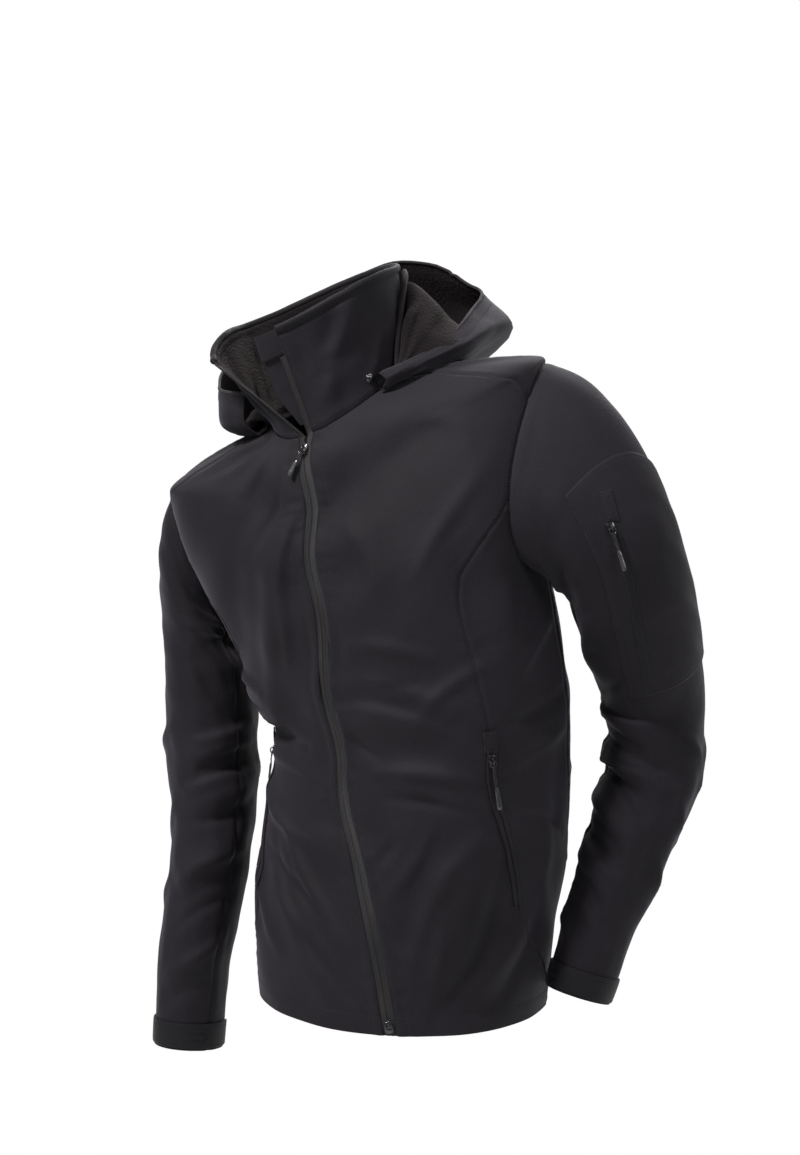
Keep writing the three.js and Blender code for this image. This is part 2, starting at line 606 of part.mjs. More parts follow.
// The hood is a pouch sewn round the neck. Each row is a section: it leaves the shoulders at
// the rest level, swings out to its fullest reach and comes up to the brim.
const HOOD = curves(table(['side', 'rest', 'outReach', 'outUp', 'brimReach', 'brimUp'], [
  [0.155, 0.985, 95, 2, 88, 10], [0.200, 0.972, 114, 5, 101, 12],
  [0.250, 0.955, 136, 7, 119, 16], [0.347, 0.925, 184, 12, 163, 38],
  [0.417, 0.900, 240, 3, 217, 64], [0.460, 0.890, 245, 18, 222, 106],
  [0.500, 0.885, 240, 30, 214, 124], [0.580, 0.890, 230, 26, 206, 114],
  [0.660, 0.910, 200, 20, 182, 88], [0.750, 0.945, 156, 15, 143, 60],
  [0.800, 0.962, 140, 14, 126, 50], [0.850, 0.982, 108, 8, 98, 36],
]), 'side');
const HOOD_START = 0.155;
const HOOD_END = 0.84;
const HOOD_CENTRE = [0.44, 0.56];
const HOOD_LIFT = 2.8;
function hoodSurface(side, way) {
  const row = HOOD(side);
  const lifted = (level, lift) => bodySurface(side, level)
    .addScaledVector(bodyNormal(side, level), lift);
  const standing = (reach, up) => neckOut(side).multiplyScalar(reach).addScaledVector(neckUp, up);
  const knots = [
    lifted(0.992, HOOD_LIFT), lifted(lerp(0.99, row.rest, 0.55), HOOD_LIFT),
    lifted(row.rest, HOOD_LIFT * 1.4), standing(row.outReach, row.outUp),
    standing(row.brimReach, row.brimUp),
  ];
  const path = new THREE.CatmullRomCurve3(knots, false, 'centripetal');
  return path.getPoint(way);
}
const hoodNormal = (side, way) => {
  const low = Math.max(way - 0.01, 0);
  const high = Math.min(way + 0.01, 1);
  const spin = hoodSurface(side + 0.002, way).sub(hoodSurface(side - 0.002, way));
  const climb = hoodSurface(side, high).sub(hoodSurface(side, low));
  return spin.cross(climb).normalize();
};
const HOOD_ROWS = 11;
for (const [name, from, to, cols] of [
  ['hood_left', HOOD_START, HOOD_CENTRE[0], 11],
  ['hood_centre', HOOD_CENTRE[0], HOOD_CENTRE[1], 5],
  ['hood_right', HOOD_CENTRE[1], HOOD_END, 11],
]) {
  add(name, panel(gridOf(HOOD_ROWS, cols, (v, u) => [lerp(from, to, u), v]),
    hoodSurface, hoodNormal), BLACK_SHELL);
}

// Main zip: each tape runs up its front edge and on along the collar's open edge.
const TAPE_WALL = 1.4;
const TAPE_DROP = -0.3;
const TAPE_COLLAR_END = 0.75;
const GUARD = { low: 0.765, reach: 29 };
const PLACKET = { low: 0.12, high: 0.97, start: 6, reach: 27, opens: 0.45 };
const collarEdge = (hand) => {
  const side = hand > 0 ? NECK_LEFT : NECK_RIGHT;
  return (rise) => {
    const at = collarSurface(side, rise);
    const beyond = at.clone().sub(collarSurface(side + hand * 0.02, rise)).normalize();
    return { at, beyond, normal: collarNormal(side, rise) };
  };
};

function frontZip(hand) {
  const edge = collarEdge(hand);
  const outer = [];
  const inner = [];
  const addRow = (free, seam, freeWay, seamWay) => {
    outer.push([free.clone().addScaledVector(freeWay, TAPE_DROP),
      seam.clone().addScaledVector(seamWay, TAPE_DROP)]);
    inner.push([free.clone().addScaledVector(freeWay, TAPE_DROP - TAPE_WALL),
      seam.clone().addScaledVector(seamWay, TAPE_DROP - TAPE_WALL)]);
  };
  for (const level of zipLevels) {
    const seamSide = hand * zipSide(level);
    const freeSide = seamSide - hand * (TAPE_WIDTH / bodySpan(0, level));
    addRow(bodySurface(freeSide, level), bodySurface(seamSide, level),
      bodyNormal(freeSide, level), bodyNormal(seamSide, level));
  }
  const end = hand > 0 ? TAPE_COLLAR_END : 0.97;
  for (const rise of [0.08, 0.28, 0.46, 0.64, end]) {
    const { at, beyond, normal } = edge(rise);
    addRow(at.clone().addScaledVector(beyond, TAPE_WIDTH), at.clone(), normal, normal);
  }
  return wallMesh(trim(outer), trim(inner), hand < 0);
}
add('front_zip_left', frontZip(1), ZIP_TAPE);
add('front_zip_right', frontZip(-1), ZIP_TAPE);

// A strip that starts beside the left collar edge and reaches beyond it.
function edgeStrip(low, high, reachAt, depth, wall, rows, cols) {
  const edge = collarEdge(1);
  const grid = (sink) => gridOf(rows, cols, (v, u) => {
    const rise = lerp(low, high, v);
    const { at, beyond, normal } = edge(rise);
    return at.addScaledVector(beyond, lerp(0, reachAt(rise), 1 - u) + SEAM_GAP)
      .addScaledVector(normal, sink);
  });
  return wallMesh(grid(depth), grid(depth - wall));
}
add('inner_placket', edgeStrip(PLACKET.low, PLACKET.high,
  (rise) => lerp(PLACKET.start, PLACKET.reach, Math.min(rise / PLACKET.opens, 1)),
  TAPE_DROP - WALL - LAYER_GAP, WALL, 7, 4), BLACK_SHELL);
add('chin_guard', edgeStrip(GUARD.low, 0.995, () => GUARD.reach,
  TAPE_DROP, WALL, 4, 5), BLACK_SHELL);

// Places that lie beside each other across a line of places on a surface.
function stripPlaces(line, halfWidth, spanAt, cols = 2) {
  return line.map(([a, b]) => Array.from({ length: cols + 1 }, (_, j) => (
    [a + (2 * j / cols - 1) * halfWidth / spanAt(a, b), b])));
}

// Hand pockets: a zip strip laid along the princess seam, with a garage at its top. Its
// points are set out from the seam towards the panels' own next points.
const POCKET = { from: 6, to: 14, halfWidth: 5, garageTo: 15, garageHalf: 7 };
const PATCH_RAISE = 1.0 + PATCH_WALL;
const ZIP_WALL = 0.9;
const STRIP_LIFT = 0.5;
function seamStrip(hand, from, to, halfWidth, wall) {
  const layer = (height) => Array.from({ length: to - from + 1 }, (_, k) => {
    const i = from + k;
    const places = [frontPlaces[i][FRONT_COLUMNS - 1], princessEdge[i], sidePlaces[i][1]]
      .map(([side, level]) => [hand * side, level]);
    const [front, seam, rear] = places.map(([side, level]) => bodySurface(side, level));
    const out = bodyNormal(...places[1]);
    const set = (to3) => seam.clone().addScaledVector(to3.sub(seam).normalize(), halfWidth);
    return [set(front), seam.clone(), set(rear)].map((point) => point.addScaledVector(out, height));
  });
  return wallMesh(layer(STRIP_LIFT + wall), layer(STRIP_LIFT), hand < 0);
}
for (const [name, hand] of [['left', 1], ['right', -1]]) {
  add(`pocket_zip_${name}`,
    seamStrip(hand, POCKET.from, POCKET.to, POCKET.halfWidth, ZIP_WALL), ZIP_TAPE);
  add(`pocket_garage_${name}`,
    seamStrip(hand, POCKET.to, POCKET.garageTo, POCKET.garageHalf, PATCH_WALL), BLACK_SHELL);
}

// Sleeve pocket on the left upper arm: a patch with a zip down its middle.
const ARM_PATCH = {
  nearTop: 0.212, nearBottom: 0.245, far: -0.060, topNear: 0.098, topFar: 0.180, bottom: 0.450,
};
const ARM_ZIP = [[0.162, 0.190], [0.185, 0.415]];
const ARM_GARAGE = [[0.150, 0.148], [0.161, 0.183]];
const armSpan = (round, along) => sleeveLeft.surface(round + 0.002, along)
  .distanceTo(sleeveLeft.surface(round - 0.002, along)) / 0.004;
add('sleeve_pocket_panel', panel(
  gridOf(9, 10, (v, u) => [
    lerp(lerp(ARM_PATCH.nearTop, ARM_PATCH.nearBottom, v), ARM_PATCH.far, u),
    lerp(lerp(ARM_PATCH.topNear, ARM_PATCH.topFar, u), ARM_PATCH.bottom, v),
  ]),
  sleeveLeft.surface, sleeveLeft.normal, { wall: PATCH_WALL, raise: PATCH_RAISE, flip: true },
), BLACK_SHELL);
const armLine = (ends, rows) => Array.from({ length: rows + 1 }, (_, i) => (
  [0, 1].map((k) => lerp(ends[0][k], ends[1][k], i / rows))));
add('sleeve_zip', panel(
  stripPlaces(armLine(ARM_ZIP, 9), 4.5, armSpan),
  sleeveLeft.surface, sleeveLeft.normal,
  { wall: 0.9, raise: PATCH_RAISE + LAYER_GAP + 0.9 },
), ZIP_TAPE);
add('sleeve_garage', panel(
  stripPlaces(armLine(ARM_GARAGE, 3), 7, armSpan, 3),
  sleeveLeft.surface, sleeveLeft.normal,
  { wall: PATCH_WALL, raise: PATCH_RAISE + LAYER_GAP + PATCH_WALL },
), BLACK_SHELL);

// Cuff tabs wrap the outer half of each cuff.
const CUFF_TAB = { top: 0.962, bottom: 0.997, from: -0.10, to: 0.57 };
for (const [name, sleeve] of [['left', sleeveLeft], ['right', sleeveRight]]) {
  add(`cuff_tab_${name}`, panel(
    gridOf(1, 16, (v, u) => [
      lerp(CUFF_TAB.from, CUFF_TAB.to, u),
      lerp(CUFF_TAB.top, CUFF_TAB.bottom, v),
    ]),
    sleeve.surface, sleeve.normal,
    { wall: WALL, raise: 2 * LAYER_GAP + WALL, flip: sleeve.hand < 0 },
  ), BLACK_SHELL);
}

// Joins closed meshes that overlap into one closed body.
const wasm = await Module();
wasm.setup();
function joined(geometries) {
  const solids = geometries.map((geometry) => {
    const bare = geometry.clone();
    bare.deleteAttribute('normal');
    bare.deleteAttribute('uv');
    const whole = mergeVertices(bare, 1e-4);
    return new wasm.Manifold(new wasm.Mesh({
      numProp: 3,
      vertProperties: new Float32Array(whole.attributes.position.array),
      triVerts: new Uint32Array(whole.index.array),
    }));
  });
  const mesh = solids.reduce((all, solid) => all.add(solid)).getMesh();
  const result = new THREE.BufferGeometry();
  result.setAttribute('position', new THREE.Float32BufferAttribute(mesh.vertProperties, 3));
  result.setIndex(Array.from(mesh.triVerts));
  result.computeVertexNormals();
  return result;
}

function outline(points) {
  const shape = new THREE.Shape();
  points.forEach(([x, y], i) => (i ? shape.lineTo(x, y) : shape.moveTo(x, y)));
  shape.closePath();
  return shape;
}

// Slider: a tapered plate with a bridge. Its base lies at z = 0 and the zip runs along y.
const SLIDER = { half: 4.2, nose: 2.8, length: 12, plate: 2.2, bridgeHalf: 4, bridgeTop: 6.3 };
const BRIDGE = { half: 1.0, holeHalf: 2.6, roof: 5.1 };
const HINGE = { y: -0.8, z: 3.7 };
function sliderGeometry() {
  const end = SLIDER.length / 2;
  const plate = new THREE.ExtrudeGeometry(outline([
    [-SLIDER.nose, -end], [SLIDER.nose, -end], [SLIDER.half, 0], [SLIDER.half, end - 1],
    [SLIDER.half - 1, end], [1 - SLIDER.half, end], [-SLIDER.half, end - 1], [-SLIDER.half, 0],
  ]), { depth: SLIDER.plate, bevelEnabled: false });
  const loop = outline([
    [-SLIDER.bridgeHalf, 1], [SLIDER.bridgeHalf, 1], [SLIDER.bridgeHalf, SLIDER.bridgeTop - 1],
    [SLIDER.bridgeHalf - 1, SLIDER.bridgeTop], [1 - SLIDER.bridgeHalf, SLIDER.bridgeTop],
    [-SLIDER.bridgeHalf, SLIDER.bridgeTop - 1],
  ]);
  loop.holes.push(outline([
    [-BRIDGE.holeHalf, SLIDER.plate - 0.4], [-BRIDGE.holeHalf, BRIDGE.roof],
    [BRIDGE.holeHalf, BRIDGE.roof], [BRIDGE.holeHalf, SLIDER.plate - 0.4],
  ]));
  const bridge = new THREE.ExtrudeGeometry(loop, { depth: 2 * BRIDGE.half, bevelEnabled: false });
  // The loop is drawn with x along the zip and y away from the cloth, then stood up.
  bridge.applyMatrix4(new THREE.Matrix4().makeBasis(v3(0, 1, 0), v3(0, 0, 1), v3(1, 0, 0)));
  bridge.translate(-BRIDGE.half, 0, 0);
  return joined([plate, bridge]);
}

// Pull: an eye round the bridge, a doubled cord and a smooth tip, hinged at its origin.
const PULL = { thick: 2.0, bar: 0.75, eyeHalf: 4.1, hole: 2.7, eyeLow: 6.6, cord: 1.1, tip: 2.5 };
function pullGeometry(cordLength, tipLength) {
  const neck = -PULL.eyeLow - cordLength;
  const end = neck - tipLength;
  const half = [
    [PULL.eyeHalf - 1, PULL.bar], [PULL.eyeHalf, -0.3], [PULL.eyeHalf, -PULL.eyeLow + 1.8],
    [PULL.cord + 0.6, -PULL.eyeLow], [PULL.cord, -PULL.eyeLow - 2], [PULL.cord, neck],
    [PULL.tip - 0.5, neck - 1.5], [PULL.tip, neck - 5], [PULL.tip, end + 2],
    [PULL.tip - 1.2, end],
  ];
  const shape = outline([...half, ...half.slice().reverse().map(([x, y]) => [-x, y])]);
  shape.holes.push(outline([
    [-PULL.hole, -PULL.bar], [-PULL.hole, -PULL.eyeLow + 2.2], [-1.2, -PULL.eyeLow + 1.1],
    [1.2, -PULL.eyeLow + 1.1], [PULL.hole, -PULL.eyeLow + 2.2], [PULL.hole, -PULL.bar],
  ]));
  const geometry = new THREE.ExtrudeGeometry(shape, { depth: PULL.thick, bevelEnabled: false });
  return geometry.translate(0, 0, -PULL.thick / 2);
}

// Puts a slider and its pull on a surface. swing turns the pull beside the zip, tilt lifts it.
function addZipPull(prefix, seat, toTop, out, rise, cordLength, tipLength, swing, tilt) {
  const y = toTop.clone().addScaledVector(out, -toTop.dot(out)).normalize();
  const x = y.clone().cross(out);
  const turn = new THREE.Quaternion()
    .setFromRotationMatrix(new THREE.Matrix4().makeBasis(x, y, out));
  const slider = add(`${prefix}_slider`, sliderGeometry(), DARK_METAL);
  slider.position.copy(seat).addScaledVector(out, rise);
  slider.quaternion.copy(turn);
  const pull = add(`${prefix}_pull`, pullGeometry(cordLength, tipLength), GREY_TIP);
  pull.position.copy(slider.position).addScaledVector(y, HINGE.y).addScaledVector(out, HINGE.z);
  pull.quaternion.copy(turn)
    .multiply(new THREE.Quaternion().setFromAxisAngle(v3(0, 0, 1), radians(swing)))
    .multiply(new THREE.Quaternion().setFromAxisAngle(v3(1, 0, 0), radians(-tilt)));
}

const SLIDER_LEVEL = 0.972;
addZipPull('front', bodySurface(0, SLIDER_LEVEL),
  bodySurface(0, SLIDER_LEVEL + 0.01).sub(bodySurface(0, SLIDER_LEVEL - 0.01)),
  bodyNormal(0, SLIDER_LEVEL), 0.3, 8, 18, -25, 2);
const SLIDER_ROW = POCKET.to - 0.36;
for (const [name, hand, swing, tilt, cord, tip] of [
  ['left', 1, 8, 3, 22, 24], ['right', -1, -14, 12, 9, 20],
]) {
  const level = lerp(princessEdge[POCKET.to - 1][1], princessEdge[POCKET.to][1],
    SLIDER_ROW - POCKET.to + 1);
  const at = (height) => bodySurface(hand * princessSide(height), height);
  addZipPull(`pocket_${name}`, at(level), at(level + 0.01).sub(at(level - 0.01)),
    bodyNormal(hand * princessSide(level), level),
    STRIP_LIFT + ZIP_WALL + 2.6 * LAYER_GAP, cord, tip, swing, tilt);
}
const ARM_SLIDER = [0.1695, 0.186];
addZipPull('sleeve', sleeveLeft.surface(...ARM_SLIDER),
  sleeveLeft.surface(ARM_SLIDER[0], ARM_SLIDER[1] - 0.01)
    .sub(sleeveLeft.surface(ARM_SLIDER[0], ARM_SLIDER[1] + 0.01)),
  sleeveLeft.normal(...ARM_SLIDER),
  PATCH_RAISE + LAYER_GAP + ZIP_WALL + LAYER_GAP + 0.1, 18, 22, -6, 3);

// Zip box at the hem end of the main zip.
const ZIP_BOX = { half: 4.6, length: 13, wall: 2.6, level: 0.012, rise: 0.35 };
const boxShape = outline([
  [-ZIP_BOX.half, 0], [ZIP_BOX.half, 0], [ZIP_BOX.half, ZIP_BOX.length - 1.5],
  [ZIP_BOX.half - 1.5, ZIP_BOX.length], [1.5 - ZIP_BOX.half, ZIP_BOX.length],
  [-ZIP_BOX.half, ZIP_BOX.length - 1.5],
]);
const zipBox = add('zip_box', new THREE.ExtrudeGeometry(
  boxShape, { depth: ZIP_BOX.wall, bevelEnabled: false },
), DARK_METAL);
const boxOut = bodyNormal(0, ZIP_BOX.level);
const boxUp = bodySurface(0, 0.03).sub(bodySurface(0, 0.002)).normalize();
zipBox.quaternion.setFromRotationMatrix(
  new THREE.Matrix4().makeBasis(boxUp.clone().cross(boxOut), boxUp, boxOut),
);
zipBox.position.copy(bodySurface(0, 0.004)).addScaledVector(boxOut, ZIP_BOX.rise);

// Snaps that hold the hood's front ends to the collar base.
const SNAP = { radius: 5, dome: 3.2, height: 2.4, rise: 0.17 };
for (const [name, side] of [['left', 0.150], ['right', 0.858]]) {
  const snap = add(`hood_snap_${name}`, new THREE.LatheGeometry([
    new THREE.Vector2(0, 0), new THREE.Vector2(SNAP.radius, 0),
    new THREE.Vector2(SNAP.radius, 0.9), new THREE.Vector2(SNAP.dome, SNAP.height),
    new THREE.Vector2(0, SNAP.height),
  ], 12), DARK_METAL);
  const out = collarNormal(side, SNAP.rise);
  snap.quaternion.setFromUnitVectors(v3(0, 1, 0), out);
  snap.position.copy(collarSurface(side, SNAP.rise)).addScaledVector(out, LAYER_GAP + 0.15);
}

export default jacket;
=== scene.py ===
"""Softshell jacket as worn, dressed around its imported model.

The tables are in millimetres and follow the same forms as the solids. Meshes are made in metres.
The front faces -Y, the wearer's left is +X, and the origin is the middle of the neck seam.
"""
import logging
import math
from dataclasses import dataclass, field
from enum import Enum
from typing import Callable, Iterable, Sequence

import bpy
import numpy as np
from mathutils import Matrix, Vector


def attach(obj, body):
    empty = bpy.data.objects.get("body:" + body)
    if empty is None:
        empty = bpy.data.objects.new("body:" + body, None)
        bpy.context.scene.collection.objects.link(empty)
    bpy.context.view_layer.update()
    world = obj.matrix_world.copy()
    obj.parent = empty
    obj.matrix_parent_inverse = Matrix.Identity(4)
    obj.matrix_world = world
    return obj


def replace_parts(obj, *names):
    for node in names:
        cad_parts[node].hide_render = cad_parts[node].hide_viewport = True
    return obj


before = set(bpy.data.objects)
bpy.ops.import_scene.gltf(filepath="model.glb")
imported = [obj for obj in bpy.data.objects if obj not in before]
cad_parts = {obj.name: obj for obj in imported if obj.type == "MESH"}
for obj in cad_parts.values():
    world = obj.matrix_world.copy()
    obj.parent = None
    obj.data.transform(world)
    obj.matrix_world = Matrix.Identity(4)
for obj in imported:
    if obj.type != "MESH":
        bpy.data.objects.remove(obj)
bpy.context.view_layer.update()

log = logging.getLogger("jacket")
Array = np.ndarray
MM = 0.001
ROOT_BODY = "jacket"


class Hand(Enum):
    """The wearer's side that a piece is on."""

    LEFT = 1
    RIGHT = -1

    @property
    def word(self) -> str:
        """Name of the side, as it stands in the node names."""
        return self.name.lower()


class Rim(Enum):
    """The four edges of a grid of cloth points."""

    LOW = "first row"
    HIGH = "last row"
    NEAR = "first column"
    FAR = "last column"


# ---- Smooth curves and folds ----


class Curve:
    """Smooth curve through points, which never swings past them."""

    def __init__(self, x: Sequence[float], y: Sequence[float]) -> None:
        """Works out the slope at each point.

        Args:
            x: rising places along the curve.
            y: the value at each place.
        """
        self.x = np.asarray(x, float)
        self.y = np.asarray(y, float)
        slope = np.diff(self.y) / np.diff(self.x)
        self.tangent = np.zeros(len(self.x))
        self.tangent[0], self.tangent[-1] = slope[0], slope[-1]
        before, after = slope[:-1], slope[1:]
        rising = before * after > 0
        both = np.where(rising, before + after, 1.0)
        self.tangent[1:-1] = np.where(rising, 2 * before * after / both, 0.0)

    def __call__(self, at: Array | float) -> Array:
        """Reads the curve.

        Args:
            at: places to read it at; beyond its ends it runs on straight.

        Returns:
            The values there.
        """
        at = np.asarray(at, float)
        i = np.clip(np.searchsorted(self.x, at, side="left") - 1, 0, len(self.x) - 2)
        span = self.x[i + 1] - self.x[i]
        t = (at - self.x[i]) / span
        u = 1 - t
        inside = (
            self.y[i] * u * u * (1 + 2 * t) + self.tangent[i] * span * t * u * u
            + self.y[i + 1] * t * t * (3 - 2 * t) - self.tangent[i + 1] * span * t * t * u
        )
        low = self.y[0] + self.tangent[0] * (at - self.x[0])
        high = self.y[-1] + self.tangent[-1] * (at - self.x[-1])
        return np.where(at < self.x[0], low, np.where(at > self.x[-1], high, inside))


def curves(columns: str, rows: Sequence[Sequence[float]]) -> dict[str, Curve]:
    """Makes one curve for each column of a table.

    Args:
        columns: names of the columns; the first is the place along the curve.
        rows: one row of numbers per place.

    Returns:
        The curves by column name.
    """
    names = columns.split()
    data = np.asarray(rows, float)
    return {name: Curve(data[:, 0], data[:, i + 1]) for i, name in enumerate(names[1:])}


@dataclass(frozen=True)
class Fold:
    """A ridge (plus) or trough (minus) between two places on a surface, bowed by sag."""

    side1: float
    level1: float
    side2: float
    level2: float
    height: float
    width: float
    sag: float = 0.0


def fold_rows(rows: Iterable[Sequence[float]]) -> list[Fold]:
    """Turns table rows into folds."""
    return [Fold(*row) for row in rows]


def fold_height(folds: Sequence[Fold], side: Array, level: Array, around: float,
                length: float) -> Array:
    """Adds up the height of all folds.

    Args:
        folds: the folds.
        side: place round the surface, as a fraction.
        level: place along the surface, as a fraction.
        around: millimetres round the surface.
        length: millimetres along the surface.

    Returns:
        Height in millimetres at each place.
    """
    height = np.zeros(np.broadcast(side, level).shape)
    for fold in folds:
        offset = side - fold.side1
        offset = offset - np.round(offset - (fold.side2 - fold.side1) / 2)
        dx = (fold.side2 - fold.side1) * around
        dy = (fold.level2 - fold.level1) * length
        px = offset * around
        py = (level - fold.level1) * length
        size = dx * dx + dy * dy
        along = (px * dx + py * dy) / size
        capped = np.clip(along, 0, 1)
        bow = fold.sag * 4 * capped * (1 - capped) / math.sqrt(size)
        gap = np.hypot(px - capped * dx + bow * dy, py - capped * dy - bow * dx)
        taper = 0.35 + 0.65 * np.sin(np.pi * np.clip(along, 0.04, 0.96))
        height = height + fold.height * taper * np.exp(-((gap / fold.width) ** 2))
    return height


def unit(vectors: Array) -> Array:
    """Vectors cut to length one."""
    size = np.linalg.norm(vectors, axis=-1, keepdims=True)
    return vectors / np.maximum(size, 1e-12)


def turned(points: Array, axis: Array, degrees: Array | float) -> Array:
    """Turns points about an axis through the origin.

    Args:
        points: the points.
        axis: unit vector of the axis.
        degrees: one angle, or one for each point.

    Returns:
        The turned points.
    """
    angle = np.radians(np.asarray(degrees, float))[..., None]
    along = (points @ axis)[..., None] * axis
    return points * np.cos(angle) + np.cross(axis, points) * np.sin(angle) + along * (1 - np.cos(angle))


def smooth(value: Array | float, low: float, high: float) -> Array:
    """Soft step from 0 at low to 1 at high."""
    t = np.clip((np.asarray(value, float) - low) / (high - low), 0, 1)
    return t * t * (3 - 2 * t)


def mix(a: Array | float, b: Array | float, t: Array | float) -> Array:
    """Straight blend from a to b."""
    return a + (b - a) * t


# ---- Forms: the surfaces that cloth lies on ----

LEAN_HEADING = math.radians(25)
ACROSS = np.array([math.cos(LEAN_HEADING), math.sin(LEAN_HEADING), 0.0])
REARWARD = np.array([-math.sin(LEAN_HEADING), math.cos(LEAN_HEADING), 0.0])
UP = np.array([0.0, 0.0, 1.0])


def placed(across: Array, up: Array, deep: Array) -> Array:
    """Points given in the upright plane that the jacket leans in.

    Args:
        across: distance to the wearer's left.
        up: height.
        deep: distance to the rear.

    Returns:
        The points.
    """
    return (np.asarray(across)[..., None] * ACROSS + np.asarray(deep)[..., None] * REARWARD
            + np.asarray(up)[..., None] * UP)


class Form:
    """A surface that is read at two fractions."""

    step = 0.002

    def point(self, a: Array, b: Array) -> Array:
        """Points of the surface."""
        raise NotImplementedError

    def normal(self, a: Array, b: Array) -> Array:
        """Outward normals, from the slopes of the surface.

        Args:
            a: place round the surface.
            b: place along it.

        Returns:
            Unit vectors.
        """
        da = self.point(a + self.step, b) - self.point(a - self.step, b)
        db = self.point(a, b + self.step) - self.point(a, b - self.step)
        return unit(np.cross(da, db))


class BodyForm(Form):
    """The trunk, from rings that are level, turned and leaning."""

    rings = curves(
        "level across up deep lean turn half front back square frontSide sideBack frontLift backLift",
        [
            [0.00, 64, -668, 0, -2, -20, 160, 150, 140, 2.3, 0, 0, -12, 0],
            [0.12, 67, -588, 0, -1, -13, 166, 148, 138, 2.3, 0, 0, -8, 0],
            [0.26, 79, -494, 0, 1, 2, 169, 142, 134, 2.3, 0, 0, 0, 0],
            [0.42, 86, -392, 0, 5, 17, 177, 133, 124, 2.3, 0, 0, 0, 0],
            [0.55, 69, -302, 0, 9, 14, 187, 130, 120, 2.4, -10, 0, 0, 0],
            [0.67, 45, -218, 0, 13, 10, 197, 128, 118, 2.5, 3, 0, 0, 0],
            [0.77, 22, -128, 0, 16, 2, 215, 122, 112, 2.7, -15, 8, -28, -14],
            [0.86, 5, -36, 0, 19, -6, 226, 104, 102, 2.7, -33, 17, -70, -26],
            [0.93, 2, -12, 0, 20, -3, 150, 97, 94, 2.3, -30, 12, -48, -8],
            [1.00, 0, 0, 0, 20, 0, 80, 82, 76, 2.0, -20, 0, -26, 8],
        ],
    )
    around = 1060.0
    length = 690.0
    # Large folds, as in the solids.
    folds = fold_rows([
        (-0.040, 0.90, -0.105, 0.53, 7, 20), (-0.092, 0.90, -0.150, 0.62, -4, 18),
        (-0.230, 0.565, -0.110, 0.515, 7, 18), (-0.240, 0.505, -0.100, 0.460, -6, 16),
        (-0.250, 0.40, -0.130, 0.33, 5, 18), (0.030, 0.520, 0.165, 0.485, 6, 18),
        (0.040, 0.465, 0.150, 0.435, -5, 17), (0.160, 0.73, 0.190, 0.60, -8, 18),
        (0.205, 0.68, 0.220, 0.52, 6, 17), (0.105, 0.72, 0.115, 0.62, -4, 16),
        (0.165, 0.33, 0.075, 0.10, 5, 20), (0.130, 0.38, 0.040, 0.15, -5, 20),
        (0.250, 0.42, 0.215, 0.20, 5, 17), (-0.120, 0.22, -0.060, 0.03, 5, 20),
        (-0.200, 0.40, -0.185, 0.12, 5, 17), (0.320, 0.50, 0.450, 0.455, 6, 18),
        (0.690, 0.50, 0.550, 0.470, 7, 18), (0.350, 0.435, 0.650, 0.405, -5, 18),
        (0.350, 0.80, 0.400, 0.64, 5, 20), (0.655, 0.78, 0.600, 0.62, 4, 21),
        (0.340, 0.30, 0.420, 0.10, 5, 19), (0.640, 0.34, 0.560, 0.14, 5, 18),
    ])

    def settle(self, points: Array, level: Array) -> Array:
        """Turns and leans points as the ring at a level does."""
        level_turned = turned(points, UP, -self.rings["turn"](level))
        return turned(level_turned, REARWARD, -self.rings["lean"](level))

    def base(self, side: Array, level: Array) -> Array:
        """Points of the trunk without folds.

        Args:
            side: fraction round from the zip, plus to the wearer's left.
            level: fraction from the hem to the neck seam.

        Returns:
            The points.
        """
        side, level = np.broadcast_arrays(np.asarray(side, float), np.asarray(level, float))
        ring = {name: curve(level) for name, curve in self.rings.items()}
        sine, cosine = np.sin(2 * np.pi * side), np.cos(2 * np.pi * side)
        forward = cosine > 0
        depth = np.where(forward, ring["front"], ring["back"])
        square = ring["square"]
        reach = ((np.abs(cosine) / depth) ** square
                 + (np.abs(sine) / ring["half"]) ** square) ** (-1 / square)
        lift = np.where(forward, ring["frontLift"], ring["backLift"]) * cosine ** 2
        stray = np.where(forward, ring["frontSide"], 0) * cosine ** 2
        behind = -reach * cosine + ring["sideBack"] * sine ** 2
        points = np.stack([reach * sine + stray, behind, lift], -1)
        return self.settle(points, level) + placed(ring["across"], ring["up"], ring["deep"])

    def point(self, side: Array, level: Array) -> Array:
        """Points of the trunk with its large folds.

        Args:
            side: fraction round from the zip.
            level: fraction from the hem to the neck seam.

        Returns:
            The points.
        """
        s = self.step
        da = self.base(side + s, level) - self.base(side - s, level)
        db = self.base(side, level + s) - self.base(side, level - s)
        height = fold_height(self.folds, side, level, self.around, self.length)
        return self.base(side, level) + unit(np.cross(da, db)) * height[..., None]

    def span(self, side: float, level: Array) -> Array:
        """Millimetres for one whole turn, judged at one place."""
        ahead = self.base(side + 0.001, level)
        return np.linalg.norm(ahead - self.base(side - 0.001, level), axis=-1) / 0.002


BODY = BodyForm()


